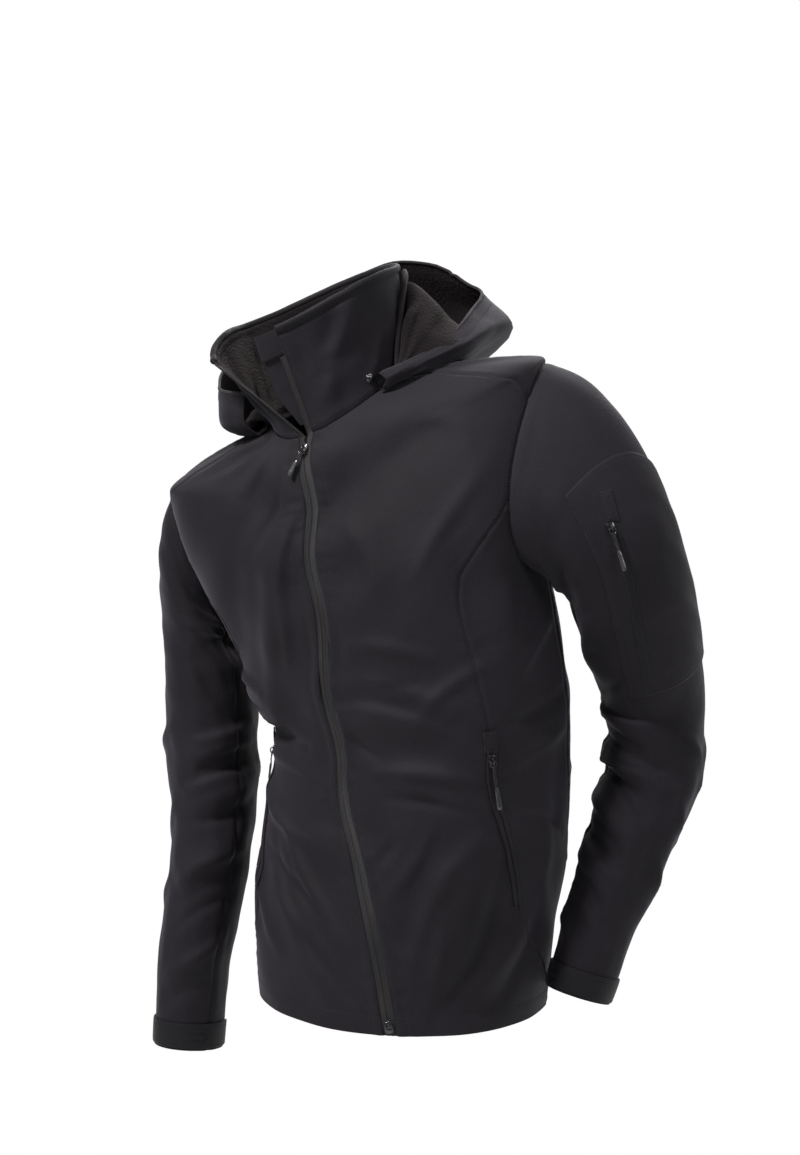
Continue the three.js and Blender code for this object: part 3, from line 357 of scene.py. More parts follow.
@dataclass(frozen=True)
class Armhole:
    """The oval on the trunk where a sleeve is sewn in, drawn from the shoulder by the front."""

    side: float = 0.262
    half_side: float = 0.054
    low: float = 0.668
    high: float = 0.858
    front_yoke: float = 0.130
    princess: float = 0.270
    front_arm_seam: float = 0.430
    side_seam: float = 0.560
    rear_arm_seam: float = 0.720
    back_yoke: float = 0.900

    def place(self, turn: Array | float, hand: int = 1) -> Array:
        """Places on the trunk.

        Args:
            turn: fraction round the oval.
            hand: 1 for the wearer's left, -1 for the right.

        Returns:
            Pairs of side and level.
        """
        angle = 2 * np.pi * np.asarray(turn, float)
        middle = (self.low + self.high) / 2
        side = self.side - self.half_side * np.sin(angle)
        return np.stack([hand * side, middle + (self.high - middle) * np.cos(angle)], -1)

    def nearest(self, side: Array, level: Array) -> tuple[Array, Array]:
        """Finds places of the trunk on the armhole.

        Args:
            side: fraction round from the zip, on the wearer's left.
            level: fraction from the hem to the neck seam.

        Returns:
            The turn on the armhole that faces each place, and millimetres outside it.
        """
        half = (self.high - self.low) / 2
        x = (self.side - side) / self.half_side
        y = (level - (self.low + self.high) / 2) / half
        gap = (np.hypot(x, y) - 1) * half * BODY.length
        return np.arctan2(x, y) / (2 * np.pi) % 1.0, np.abs(gap)


ARMHOLE = Armhole()


class SleeveForm(Form):
    """A sleeve: a cap from the armhole to the first ring, then a tube to the cuff."""

    cap_end = 0.32
    cap_drop = 0.75
    cap_fullness = 1.1
    low_reach = 0.8
    around = 360.0
    length = 640.0
    columns = "along across up deep half inside thick"
    rows = {
        Hand.LEFT: [
            [0.32, 307, -212, -72, 69, 64, 69], [0.38, 318, -250, -56, 67, 62, 66],
            [0.54, 342, -352, -20, 55, 55, 58], [0.62, 340, -405, -20, 55, 55, 55],
            [0.74, 315, -480, -38, 48, 48, 50], [0.87, 285, -562, -52, 41, 41, 44],
            [1.00, 255, -655, -62, 36, 34, 41],
        ],
        Hand.RIGHT: [
            [0.32, -151, -284, 110, 58, 30, 64], [0.38, -150, -320, 108, 59, 43, 62],
            [0.54, -150, -418, 99, 58, 44, 57], [0.62, -151, -470, 93, 49, 45, 54],
            [0.76, -161, -560, 82, 43, 43, 50], [0.88, -175, -648, 71, 40, 40, 45],
            [1.00, -182, -744, 66, 38, 38, 42],
        ],
    }
    folds_of = {
        Hand.LEFT: fold_rows([
            (0.50, 0.515, 0.16, 0.575, 6, 14), (0.52, 0.560, 0.18, 0.620, -7, 12),
            (0.50, 0.605, 0.14, 0.668, 6, 13), (0.50, 0.650, 0.16, 0.712, -6, 11),
            (0.48, 0.695, 0.14, 0.760, 6, 13), (0.48, 0.742, 0.18, 0.805, -5, 11),
            (0.46, 0.788, 0.16, 0.850, 5, 12), (0.44, 0.840, 0.18, 0.892, -4, 11),
            (0.24, 0.10, 0.34, 0.40, 5, 16), (0.33, 0.14, 0.43, 0.42, -5, 14),
            (0.06, 0.60, 0.00, 0.84, 5, 16), (0.68, 0.18, 0.78, 0.44, 5, 14),
            (0.88, 0.50, 0.72, 0.57, 4, 12),
        ]),
        Hand.RIGHT: fold_rows([
            (0.52, 0.500, 0.22, 0.535, 5, 13), (0.54, 0.540, 0.24, 0.575, -5, 11),
            (0.56, 0.580, 0.26, 0.615, 5, 13), (0.30, 0.14, 0.40, 0.42, 5, 15),
            (0.40, 0.18, 0.48, 0.40, -4, 13), (0.66, 0.20, 0.80, 0.44, 5, 15),
            (0.68, 0.52, 0.86, 0.60, 4, 14), (0.48, 0.66, 0.24, 0.74, 4, 14),
            (0.46, 0.72, 0.22, 0.80, -3, 12), (0.50, 0.85, 0.22, 0.89, 3, 12),
        ]),
    }
    cap_reach = {Hand.LEFT: 1.45, Hand.RIGHT: 0.55}

    def __init__(self, hand: Hand) -> None:
        """Reads the tables of one side.

        Args:
            hand: the side of the sleeve.
        """
        self.hand = hand
        self.rings = curves(self.columns, self.rows[hand])
        self.folds = self.folds_of[hand]

    def middle(self, along: Array) -> Array:
        """Middle line of the sleeve."""
        return placed(self.rings["across"](along), self.rings["up"](along), self.rings["deep"](along))

    def heading(self, along: Array) -> Array:
        """Way the sleeve runs."""
        return unit(self.middle(along + 0.01) - self.middle(along - 0.01))

    def tube(self, turn: Array, along: Array) -> Array:
        """Points of the tube below the cap.

        Args:
            turn: fraction round from the outer side by the front.
            along: fraction from the armhole to the cuff.

        Returns:
            The points.
        """
        sign = float(self.hand.value)
        axis = self.heading(np.maximum(along, self.cap_end))
        outer = unit(np.array([sign, 0.0, 0.0]) - sign * axis[..., :1] * axis)
        forward = np.array([0.0, -1.0, 0.0])
        forward = forward - (axis @ forward)[..., None] * axis - (outer @ forward)[..., None] * outer
        angle = 2 * np.pi * turn
        cosine = np.cos(angle)
        half = np.where(cosine > 0, self.rings["half"](along), self.rings["inside"](along))
        return (self.middle(along) + outer * (half * cosine)[..., None]
                + unit(forward) * (self.rings["thick"](along) * np.sin(angle))[..., None])

    def cap(self, turn: Array, along: Array) -> Array:
        """Points of the cap, which leaves along the shoulder and arrives along the arm.

        Args:
            turn: fraction round the armhole.
            along: fraction from the armhole to the cuff.

        Returns:
            The points.
        """
        places = ARMHOLE.place(turn, self.hand.value)
        start = BODY.point(places[..., 0], places[..., 1])
        end = self.tube(turn, np.full(np.shape(turn), self.cap_end))
        length = np.linalg.norm(end - start, axis=-1, keepdims=True)
        tip = BODY.settle(np.array([[float(self.hand.value), 0.0, 0.0]]), np.array([ARMHOLE.high]))[0]
        top = (1 + np.cos(2 * np.pi * turn)) / 2
        leave = mix(self.low_reach, self.cap_reach[self.hand], top)[..., None] * tip
        leave = unit(leave - self.cap_drop * UP) * length * self.cap_fullness
        arrive = self.heading(np.full(np.shape(turn), self.cap_end)) * length
        t = (along / self.cap_end)[..., None]
        s = 1 - t
        return (start * s * s * (1 + 2 * t) + leave * t * s * s
                + end * t * t * (3 - 2 * t) - arrive * t * t * s)

    def base(self, turn: Array, along: Array) -> Array:
        """Points of the sleeve without folds."""
        turn, along = np.broadcast_arrays(np.asarray(turn, float), np.asarray(along, float))
        in_cap = (along < self.cap_end)[..., None]
        return np.where(in_cap, self.cap(turn, along), self.tube(turn, along))

    def slope(self, form: Callable[[Array, Array], Array], turn: Array, along: Array) -> Array:
        """Outward normals of a way of reading the sleeve.

        Args:
            form: the function that gives points.
            turn: fraction round.
            along: fraction along.

        Returns:
            Unit vectors.
        """
        spin = form(turn + 0.004, along) - form(turn - 0.004, along)
        low = np.maximum(along - 0.004, 0)
        run = form(turn, low + 0.008) - form(turn, low)
        return unit(np.cross(spin, run) * self.hand.value)

    def point(self, turn: Array, along: Array) -> Array:
        """Points of the sleeve with its large folds."""
        height = fold_height(self.folds, turn, along, self.around, self.length) * smooth(along, 0, 0.06)
        return self.base(turn, along) + self.slope(self.base, turn, along) * height[..., None]

    def normal(self, turn: Array, along: Array) -> Array:
        """Outward normals, shared with the trunk along the armhole.

        Args:
            turn: fraction round.
            along: fraction along.

        Returns:
            Unit vectors.
        """
        own = self.slope(self.point, turn, along)
        places = ARMHOLE.place(turn, self.hand.value)
        body = BODY.normal(places[..., 0], places[..., 1])
        shared = unit(own + body)
        return unit(mix(shared, own, smooth(along, 0, 0.015)[..., None]))


def neck_out(side: Array) -> Array:
    """Way out from the neck at a place round it."""
    side = np.asarray(side, float)
    flat = np.stack([np.sin(2 * np.pi * side), -np.cos(2 * np.pi * side), np.zeros_like(side)], -1)
    return BODY.settle(flat, np.ones_like(side))


NECK_UP = BODY.settle(np.array([[0.0, 0.0, 1.0]]), np.array([1.0]))[0]


class CollarForm(Form):
    """The stand collar, on the inside of the neck edge."""

    rows = curves("side lean height slide", [
        [0.016, 5, 121, 2], [0.100, 14, 118, 0], [0.250, 24, 112, 0], [0.380, 26, 114, 0],
        [0.500, 24, 112, 0], [0.620, 26, 110, 0], [0.750, 26, 112, -8], [0.870, 24, 113, -34],
        [0.984, 4, 112, -72],
    ])
    inset = 1.9
    sunk = 2.0

    def point(self, side: Array, rise: Array) -> Array:
        """Points of the collar's outer face.

        Args:
            side: fraction round the neck from the zip.
            rise: fraction from the neck seam to the top edge.

        Returns:
            The points.
        """
        side, rise = np.broadcast_arrays(np.asarray(side, float), np.asarray(rise, float))
        out = neck_out(side)
        way = np.cross(NECK_UP, out)
        lean = self.rows["lean"](side) * np.maximum(rise, 0) ** 1.3 - self.inset
        tall = self.rows["height"](side) * rise - self.sunk
        return (BODY.point(side, np.ones_like(side)) + out * lean[..., None]
                + NECK_UP * tall[..., None] + way * (self.rows["slide"](side) * rise)[..., None])


COLLAR = CollarForm()


class HoodForm(Form):
    """The hood, a pouch sewn round the neck that rests on the shoulders and opens upwards."""

    rows = curves("side rest outReach outUp brimReach brimUp fold", [
        [0.155, 0.985, 95, 2, 88, 10, 0], [0.200, 0.972, 114, 5, 101, 12, 16],
        [0.250, 0.955, 136, 7, 119, 16, 58], [0.347, 0.925, 184, 12, 163, 38, 92],
        [0.417, 0.900, 240, 3, 217, 64, 86], [0.460, 0.890, 245, 18, 222, 106, 62],
        [0.500, 0.885, 240, 30, 214, 124, 40], [0.580, 0.890, 230, 26, 206, 114, 30],
        [0.660, 0.910, 200, 20, 182, 88, 26], [0.750, 0.945, 156, 15, 143, 60, 18],
        [0.800, 0.962, 140, 14, 126, 50, 10], [0.850, 0.982, 108, 8, 98, 36, 0],
    ])
    start = 0.155
    end = 0.84
    lift = 2.8

    def point(self, side: Array, way: Array) -> Array:
        """Points of the hood's outer face.

        Args:
            side: fraction round the neck.
            way: fraction from the neck seam to the brim.

        Returns:
            The points.
        """
        side, way = np.broadcast_arrays(np.asarray(side, float), np.asarray(way, float))
        row = {name: curve(side) for name, curve in self.rows.items()}

        def lifted(level: Array, lift: float) -> Array:
            """Points a little above the trunk."""
            return BODY.point(side, level) + BODY.normal(side, level) * lift

        def standing(reach: Array, up: Array) -> Array:
            """Points out from the neck and up."""
            return neck_out(side) * reach[..., None] + NECK_UP * up[..., None]

        whole = np.ones_like(side)
        knots = [
            lifted(0.992 * whole, self.lift), lifted(mix(0.99, row["rest"], 0.55), self.lift),
            lifted(row["rest"], self.lift * 1.4), standing(row["outReach"], row["outUp"]),
            standing(row["brimReach"], row["brimUp"]),
        ]
        return centripetal(knots, way)


def centripetal(knots: Sequence[Array], way: Array) -> Array:
    """Smooth line through five knots, for many lines at once.

    Args:
        knots: the knots of each line.
        way: fraction along each line.

    Returns:
        The points.
    """
    first = 2 * knots[0] - knots[1]
    last = 2 * knots[-1] - knots[-2]
    line = [first, *knots, last]
    spans = len(knots) - 1
    scaled = np.clip(way, 0, 1) * spans
    index = np.minimum(scaled.astype(int), spans - 1)
    w = (scaled - index)[..., None]
    result = np.zeros_like(knots[0])
    for k in range(spans):
        p0, p1, p2, p3 = line[k:k + 4]
        d0, d1, d2 = (np.maximum(np.sum((b - a) ** 2, -1, keepdims=True) ** 0.25, 1e-4)
                      for a, b in ((p0, p1), (p1, p2), (p2, p3)))
        t1 = ((p1 - p0) / d0 - (p2 - p0) / (d0 + d1) + (p2 - p1) / d1) * d1
        t2 = ((p2 - p1) / d1 - (p3 - p1) / (d1 + d2) + (p3 - p2) / d2) * d1
        c2 = -3 * p1 + 3 * p2 - 2 * t1 - t2
        c3 = 2 * p1 - 2 * p2 + t1 + t2
        result = np.where((index == k)[..., None], p1 + t1 * w + c2 * w * w + c3 * w ** 3, result)
    return result


HOOD = HoodForm()
SLEEVES = {hand: SleeveForm(hand) for hand in Hand}


# ---- Cuts: where each piece of cloth starts and ends on its form ----


def run(corners: Sequence[Sequence[float]], steps: int = 6) -> Array:
    """Evenly divided run of places on the trunk.

    Args:
        corners: places that the run goes through.
        steps: number of equal steps.

    Returns:
        The places, both ends in.
    """
    corners = np.asarray(corners, float)
    lengths = np.hypot(*(np.diff(corners, axis=0) * (BODY.around, BODY.length)).T)
    reach = np.concatenate([[0.0], np.cumsum(lengths)])
    at = np.linspace(0, reach[-1], steps + 1)
    return np.stack([np.interp(at, reach, corners[:, k]) for k in range(2)], -1)


@dataclass(frozen=True)
class Cut:
    """The four edges of a piece of cloth, each a row of places on its form."""

    low: Array
    high: Array
    near: Array
    far: Array

    @staticmethod
    def read(edge: Array, at: Array) -> Array:
        """Places along one edge, at fractions of its steps."""
        index = np.clip(at, 0, 1) * (len(edge) - 1)
        return np.stack([np.interp(index, np.arange(len(edge)), edge[:, k]) for k in range(2)], -1)

    def place(self, u: Array, v: Array) -> Array:
        """Fills the inside from the four edges.

        Args:
            u: fraction from the near edge to the far edge.
            v: fraction from the low edge to the high edge.

        Returns:
            Places on the form.
        """
        u, v = np.broadcast_arrays(u, v)
        a, b = u[..., None], v[..., None]
        return ((1 - b) * self.read(self.low, u) + b * self.read(self.high, u)
                + (1 - a) * self.read(self.near, v) + a * self.read(self.far, v)
                - (1 - a) * (1 - b) * self.low[0] - a * (1 - b) * self.low[-1]
                - (1 - a) * b * self.high[0] - a * b * self.high[-1])

    def handed(self, hand: Hand) -> "Cut":
        """The same cut on one side of the trunk."""
        turn = np.array([float(hand.value), 1.0])
        return Cut(self.low * turn, self.high * turn, self.near * turn, self.far * turn)


def oblong(a1: float, a2: float, b1: float, b2: float) -> Cut:
    """A cut with straight edges.

    Args:
        a1: place round the form where it starts.
        a2: place round the form where it ends.
        b1: place along the form where it starts.
        b2: place along the form where it ends.

    Returns:
        The cut.
    """
    return Cut(np.array([[a1, b1], [a2, b1]]), np.array([[a1, b2], [a2, b2]]),
               np.array([[a1, b1], [a1, b2]]), np.array([[a2, b1], [a2, b2]]))


TAPE_WIDTH = 7.0
ZIP_OPENS = 0.98
NECK_ZIP, NECK_FRONT_YOKE, NECK_BACK_YOKE = 0.016, 0.215, 0.335
PRINCESS = Curve(
    [0.00, 0.05, 0.09, 0.12, 0.18, 0.30, 0.44, 0.56, 0.66, 0.72, 0.76],
    [0.236, 0.228, 0.203, 0.184, 0.171, 0.179, 0.184, 0.176, 0.168, 0.178, 0.208],
)
SIDE_SEAM = Curve([0, 0.20, 0.42, 0.60], [0.285, 0.292, 0.296, 0.286])
PRINCESS_STEPS = 24
ARM_STEPS = {ARMHOLE.front_yoke: 3, ARMHOLE.princess: 3, ARMHOLE.front_arm_seam: 3,
             ARMHOLE.side_seam: 3, ARMHOLE.rear_arm_seam: 4, ARMHOLE.back_yoke: 5}


def zip_side(level: Array) -> Array:
    """Place of the front edge beside the zip, which opens above the slider."""
    level = np.asarray(level, float)
    capped = np.minimum(level, ZIP_OPENS)
    closed = TAPE_WIDTH / BODY.span(0.0, capped)
    return np.where(level < ZIP_OPENS, closed,
                    mix(closed, NECK_ZIP, (level - ZIP_OPENS) / (1 - ZIP_OPENS)))


def arm_edge(start: float, end: float) -> Array:
    """Places along the armhole between two of its seams.

    Args:
        start: turn of the first seam.
        end: turn of the last seam.

    Returns:
        The places, in the armhole's own steps.
    """
    stops = [*ARM_STEPS, 1 + ARMHOLE.front_yoke]
    turns = [np.array([start])]
    for low, high in zip(stops[:-1], stops[1:]):
        if start - 1e-6 <= low and high <= end + 1e-6:
            turns.append(np.linspace(low, high, ARM_STEPS[low] + 1)[1:])
    return ARMHOLE.place(np.concatenate(turns))


def seam_down(side: Curve, top: Array, blend_from: float) -> Array:
    """A seam from the hem up to the armhole.

    Args:
        side: the seam's place at each level.
        top: place where it meets the armhole.
        blend_from: level from which it heads for that place.

    Returns:
        The places, from the hem up.
    """
    level = top[1] * np.arange(PRINCESS_STEPS + 1) / PRINCESS_STEPS
    return np.stack([mix(side(level), top[0], smooth(level, blend_from, top[1])), level], -1)


class TrunkCuts:
    """The seams of the trunk and the pieces between them, on the wearer's left."""

    def __init__(self) -> None:
        """Draws the seams, then the cuts."""
        hole = ARMHOLE
        top, side_top = hole.place(hole.princess), hole.place(hole.side_seam)
        self.princess = seam_down(PRINCESS, top, 0.70)
        self.side_seam = seam_down(SIDE_SEAM, side_top, 0.45)
        self.front_yoke = run([[NECK_FRONT_YOKE, 1], [0.202, 0.930], [0.200, 0.880],
                               hole.place(hole.front_yoke)])
        self.back_yoke = run([[NECK_BACK_YOKE, 1], hole.place(hole.back_yoke)])
        outer = np.concatenate([self.princess, arm_edge(hole.front_yoke, hole.princess)[::-1][1:],
                                self.front_yoke[:-1][::-1]])
        steps = len(outer) - 1
        index = np.arange(steps + 1)
        above = (index - PRINCESS_STEPS) / (steps - PRINCESS_STEPS)
        self.zip_levels = np.where(index <= PRINCESS_STEPS, outer[:, 1], mix(top[1], 1.0, above))
        self.front = Cut(
            run([[float(zip_side(0)), 0], self.princess[0]], 10),
            run([[NECK_ZIP, 1], [NECK_FRONT_YOKE, 1]], 10),
            np.stack([zip_side(self.zip_levels), self.zip_levels], -1), outer,
        )
        under_arm = arm_edge(hole.princess, hole.side_seam)
        self.side = Cut(run([self.princess[0], self.side_seam[0]], len(under_arm) - 1),
                        under_arm, self.princess, self.side_seam)
        edge = np.concatenate([self.side_seam, arm_edge(hole.side_seam, hole.back_yoke)[1:],
                               self.back_yoke[:-1][::-1]])
        across = np.stack([1 - edge[:, 0], edge[:, 1]], -1)
        self.back = Cut(run([edge[0], across[0]], 16),
                        run([[NECK_BACK_YOKE, 1], [1 - NECK_BACK_YOKE, 1]], 16), edge, across)
        arc = arm_edge(hole.back_yoke, 1 + hole.front_yoke)[::-1]
        neck = run([[NECK_FRONT_YOKE, 1], [NECK_BACK_YOKE, 1]], len(arc) - 1)
        self.yoke = Cut(neck, arc, self.front_yoke, self.back_yoke)


TRUNK = TrunkCuts()


# ---- Cloth relief ----


@dataclass(frozen=True)
class Unevenness:
    """Slow, seeded waves that keep cloth from looking drawn with a ruler."""

    seed: int
    height: float = 0.55
    shortest: float = 26.0
    longest: float = 95.0
    count: int = 16

    def __call__(self, x: Array, y: Array) -> Array:
        """Height of the waves.

        Args:
            x: millimetres round the form.
            y: millimetres along it.

        Returns:
            Height in millimetres.
        """
        random = np.random.default_rng(self.seed)
        total = np.zeros(np.broadcast(x, y).shape)
        for _ in range(self.count):
            length = random.uniform(self.shortest, self.longest)
            heading, phase = random.uniform(0, 2 * math.pi, 2)
            wave = (x * math.cos(heading) + y * math.sin(heading)) * 2 * math.pi / length + phase
            total += np.sin(wave) * length / self.longest
        return total * self.height / math.sqrt(self.count / 2)


def puckers(along: Array, gap: Array, seed: int, reach: float = 22.0, height: float = 0.7) -> Array:
    """Small uneven ripples beside a sewn edge.

    Args:
        along: millimetres along the edge.
        gap: millimetres from it.
        seed: seed of the unevenness.
        reach: how far the ripples run into the cloth.
        height: height of the largest.

    Returns:
        Height in millimetres.
    """
    random = np.random.default_rng(seed)
    total = np.zeros(np.broadcast(along, gap).shape)
    for length in (11.0, 14.5, 19.0, 27.0):
        phase, slant = random.uniform(0, 2 * math.pi), random.uniform(-0.35, 0.35)
        swell = 0.5 + 0.5 * np.sin(along * 2 * math.pi / (length * 5.3) + phase * 2)
        total += np.sin((along + gap * slant) * 2 * math.pi / length + phase) * swell
    return total * 0.4 * height * np.exp(-((gap - 5) / reach) ** 2) * smooth(gap, 1.0, 4.5)


CLOSE_BY = (1.1, 2.4, 4.0, 5.6, 7.4, 10.0)


def spread(sizes: Array, step: float) -> Array:
    """Fractions across lines of cloth, closer together beside their ends.

    Args:
        sizes: length of each line in millimetres.
        step: millimetres between the inner places.

    Returns:
        One row of fractions for each line.
    """
    close = np.array(CLOSE_BY)
    size = np.maximum(sizes, 6.0)[:, None]
    near = close * np.minimum(1, size / (2.8 * close[-1])) / size
    count = max(2, round((float(np.median(sizes)) - 2 * close[-1]) / step))
    inner = near[:, -1:] + (1 - 2 * near[:, -1:]) * np.linspace(0, 1, count + 1)[1:-1]
    zero = np.zeros_like(size)
    return np.concatenate([zero, near, inner, 1 - near[:, ::-1], zero + 1], axis=1)


class ClothGrid:
    """Points of one piece of cloth, with their distances from its edges."""

    def __init__(self, form: Form, cut: Cut, step: float = 4.2, lift: float = 0.0) -> None:
        """Lays the piece on its form.

        Args:
            form: the form that it lies on.
            cut: its edges.
            step: millimetres between points.
            lift: how far above the form its outer face lies.
        """
        self.form = form
        at = np.linspace(0, 1, 9)
        rough = form.point(*np.moveaxis(cut.place(at[None, :], at[:, None]), -1, 0))
        tall = np.linalg.norm(np.diff(rough, axis=0), axis=-1).sum(0)
        rows = spread(np.array([np.median(tall)]), step)[0]
        wide = np.linalg.norm(np.diff(rough, axis=1), axis=-1).sum(1)
        columns = spread(np.interp(rows, at, wide), step)
        self.places = cut.place(columns, rows[:, None])
        self.a, self.b = self.places[..., 0], self.places[..., 1]
        self.normals = self.mitred(form.normal(self.a, self.b))
        self.base = form.point(self.a, self.b) + self.normals * lift
        self.points = self.base
        across = np.linalg.norm(np.diff(self.base, axis=1), axis=-1)
        up = np.linalg.norm(np.diff(self.base, axis=0), axis=-1)
        near = np.concatenate([np.zeros((len(across), 1)), np.cumsum(across, 1)], 1)
        low = np.concatenate([np.zeros((1, up.shape[1])), np.cumsum(up, 0)], 0)
        self.gaps = {Rim.NEAR: near, Rim.FAR: near[:, -1:] - near,
                     Rim.LOW: low, Rim.HIGH: low[-1:] - low}

    def mitred(self, own: Array) -> Array:
        """Trunk normals, shared with the sleeve beside an armhole.

        Args:
            own: the form's own normals.

        Returns:
            Unit vectors.
        """
        if not isinstance(self.form, BodyForm):
            return own
        result = own
        for hand in Hand:
            turn, gap = ARMHOLE.nearest(self.a * hand.value, self.b)
            if float(gap.min()) < 8:
                shared = SLEEVES[hand].normal(turn, np.zeros_like(turn))
                result = unit(mix(shared, result, smooth(gap, 0, 8)[..., None]))
        return result

    def edge(self, *rims: Rim) -> Array:
        """Millimetres from the nearest of some edges, or of all four."""
        return np.minimum.reduce([self.gaps[rim] for rim in rims or Rim])

    def middle(self) -> Array:
        """Millimetres from the middle line of a strip, plus towards its far edge."""
        return (self.gaps[Rim.NEAR] - self.gaps[Rim.FAR]) / 2

    def displace(self, height: Array) -> None:
        """Moves the points out from the form and works out their normals anew.

        Args:
            height: millimetres for each point.
        """
        self.points = self.base + self.normals * height[..., None]
        across = np.gradient(self.points, axis=1)
        up = np.gradient(self.points, axis=0)
        fresh = unit(np.cross(across, up))
        fresh *= np.sign(np.sum(fresh * self.normals, -1, keepdims=True))
        rim = np.zeros(height.shape, bool)
        rim[[0, -1], :] = rim[:, [0, -1]] = True
        self.normals = np.where(rim[..., None], self.normals, fresh)

    def line(self, rim: Rim, gap: float, lift: float = 0.0) -> tuple[Array, Array]:
        """A line on the cloth at a distance from one edge.

        Args:
            rim: the edge.
            gap: millimetres from it.
            lift: millimetres above the cloth.

        Returns:
            Points of the line, and the cloth's normals there.
        """
        upright = rim in (Rim.LOW, Rim.HIGH)
        turn = (lambda grid: np.moveaxis(grid, 0, 1)) if upright else (lambda grid: grid)
        gaps, points, normals = turn(self.gaps[rim]), turn(self.points), turn(self.normals)
        if rim in (Rim.FAR, Rim.HIGH):
            gaps, points, normals = gaps[:, ::-1], points[:, ::-1], normals[:, ::-1]
        rows = np.arange(len(gaps))
        index = np.clip((gaps < gap).sum(1) - 1, 0, gaps.shape[1] - 2)
        low, high = gaps[rows, index], gaps[rows, index + 1]
        t = np.clip((gap - low) / (high - low), 0, 1)[:, None]
        normal = unit(mix(normals[rows, index], normals[rows, index + 1], t))
        return mix(points[rows, index], points[rows, index + 1], t) + normal * lift, normal

    def flat_size(self) -> tuple[float, float, float]:
        """Width, length and area of the cloth laid flat, in metres."""
        width = float(self.gaps[Rim.NEAR][:, -1].max()) * MM
        length = float(self.gaps[Rim.LOW][-1].max()) * MM
        across = (self.base[:-1, 1:] - self.base[:-1, :-1])
        up = (self.base[1:, :-1] - self.base[:-1, :-1])
        area = float(np.linalg.norm(np.cross(across, up), axis=-1).sum()) * MM * MM
        return width, length, min(area, width * length)


# ---- Finishes ----


# Blender's wave texture makes 20 / (2 pi) bands in a metre at a scale of 1.
WAVE_SCALE = math.pi / 10


class Nodes:
    """A short way to lay out a material's nodes."""

    def __init__(self, name: str) -> None:
        """Starts an empty material.

        Args:
            name: its name.
        """
        self.material = bpy.data.materials.new(name)
        self.material.use_nodes = True
        self.tree = self.material.node_tree
        self.shader = next(n for n in self.tree.nodes if n.type == "BSDF_PRINCIPLED")

    def add(self, kind: str, settings: dict | None = None, **inputs: object) -> bpy.types.Node:
        """Adds a node.

        Args:
            kind: its type name, without the ShaderNode in front.
            settings: properties of the node.
            inputs: values or sockets by input name, with _ for a space.

        Returns:
            The node.
        """
        node = self.tree.nodes.new("ShaderNode" + kind)
        for name, value in (settings or {}).items():
            setattr(node, name, value)
        for name, value in inputs.items():
            self.feed(node.inputs[name.replace("_", " ")], value)
        return node

    def feed(self, socket: bpy.types.NodeSocket, value: object) -> None:
        """Sets a socket to a value or links another socket to it."""
        if isinstance(value, bpy.types.NodeSocket):
            self.tree.links.new(value, socket)
        else:
            socket.default_value = value

    def shade(self, **inputs: object) -> None:
        """Sets the shader's own sockets, with _ for a space."""
        for name, value in inputs.items():
            self.feed(self.shader.inputs[name.replace("_", " ")], value)

    def ramp(self, factor: bpy.types.NodeSocket, low: Sequence[float], high: Sequence[float],
             start: float = 0.3, end: float = 0.7) -> bpy.types.NodeSocket:
        """A blend between two colours.

        Args:
            factor: what drives it.
            low: colour at and below start.
            high: colour at and above end.
            start: where the blend starts.
            end: where it ends.

        Returns:
            The colour socket.
        """
        node = self.add("ValToRGB", Fac=factor)
        first, last = node.color_ramp.elements
        first.position, last.position = start, end
        first.color, last.color = (*low, 1), (*high, 1)
        return node.outputs["Color"]

    def noise(self, scale: float, detail: float = 3.0) -> bpy.types.NodeSocket:
        """Noise over the object, in repeats a metre."""
        place = self.add("TexCoord").outputs["Object"]
        return self.add("TexNoise", Vector=place, Scale=scale, Detail=detail).outputs["Fac"]

    def bands(self, axis: str, per_metre: float, wobble: float = 0.0) -> bpy.types.NodeSocket:
        """Even bands across the cloth's own layout.

        Args:
            axis: X for bands one beside another along the first way, Y for the second.
            per_metre: bands a metre.
            wobble: how much they stray.

        Returns:
            The socket, from 0 to 1.
        """
        place = self.add("TexCoord").outputs["UV"]
        wave = self.add("TexWave", {"wave_type": "BANDS", "bands_direction": axis}, Vector=place,
                        Scale=per_metre * WAVE_SCALE, Distortion=wobble)
        return wave.outputs["Fac"]

    def sum(self, *parts: tuple[bpy.types.NodeSocket, float]) -> bpy.types.NodeSocket:
        """Adds up sockets, each with its share."""
        total = None
        for socket, share in parts:
            scaled = self.add("Math", {"operation": "MULTIPLY"})
            self.feed(scaled.inputs[0], socket)
            scaled.inputs[1].default_value = share
            if total is None:
                total = scaled.outputs[0]
                continue
            both = self.add("Math", {"operation": "ADD"})
            self.feed(both.inputs[0], total)
            self.feed(both.inputs[1], scaled.outputs[0])
            total = both.outputs[0]
        return total

    def bump(self, height: bpy.types.NodeSocket, distance: float, strength: float = 1.0) -> None:
        """Roughens the shader's normal, by a height over a distance in metres."""
        node = self.add("Bump", Height=height, Distance=distance, Strength=strength)
        self.feed(self.shader.inputs["Normal"], node.outputs["Normal"])


Colour = tuple[float, float, float]


@dataclass(frozen=True)
class Finish:
    """A finish that makes its own material."""

    name: str
    dark: Colour
    light: Colour
    roughness: float = 0.8

    def build(self) -> bpy.types.Material:
        """Makes the material."""
        nodes = Nodes(self.name)
        nodes.shade(Base_Color=nodes.ramp(nodes.noise(16), self.dark, self.light),
                    Roughness=self.roughness)
        self.detail(nodes)
        return nodes.material

    def detail(self, nodes: Nodes) -> None:
        """Adds what sets this finish apart."""


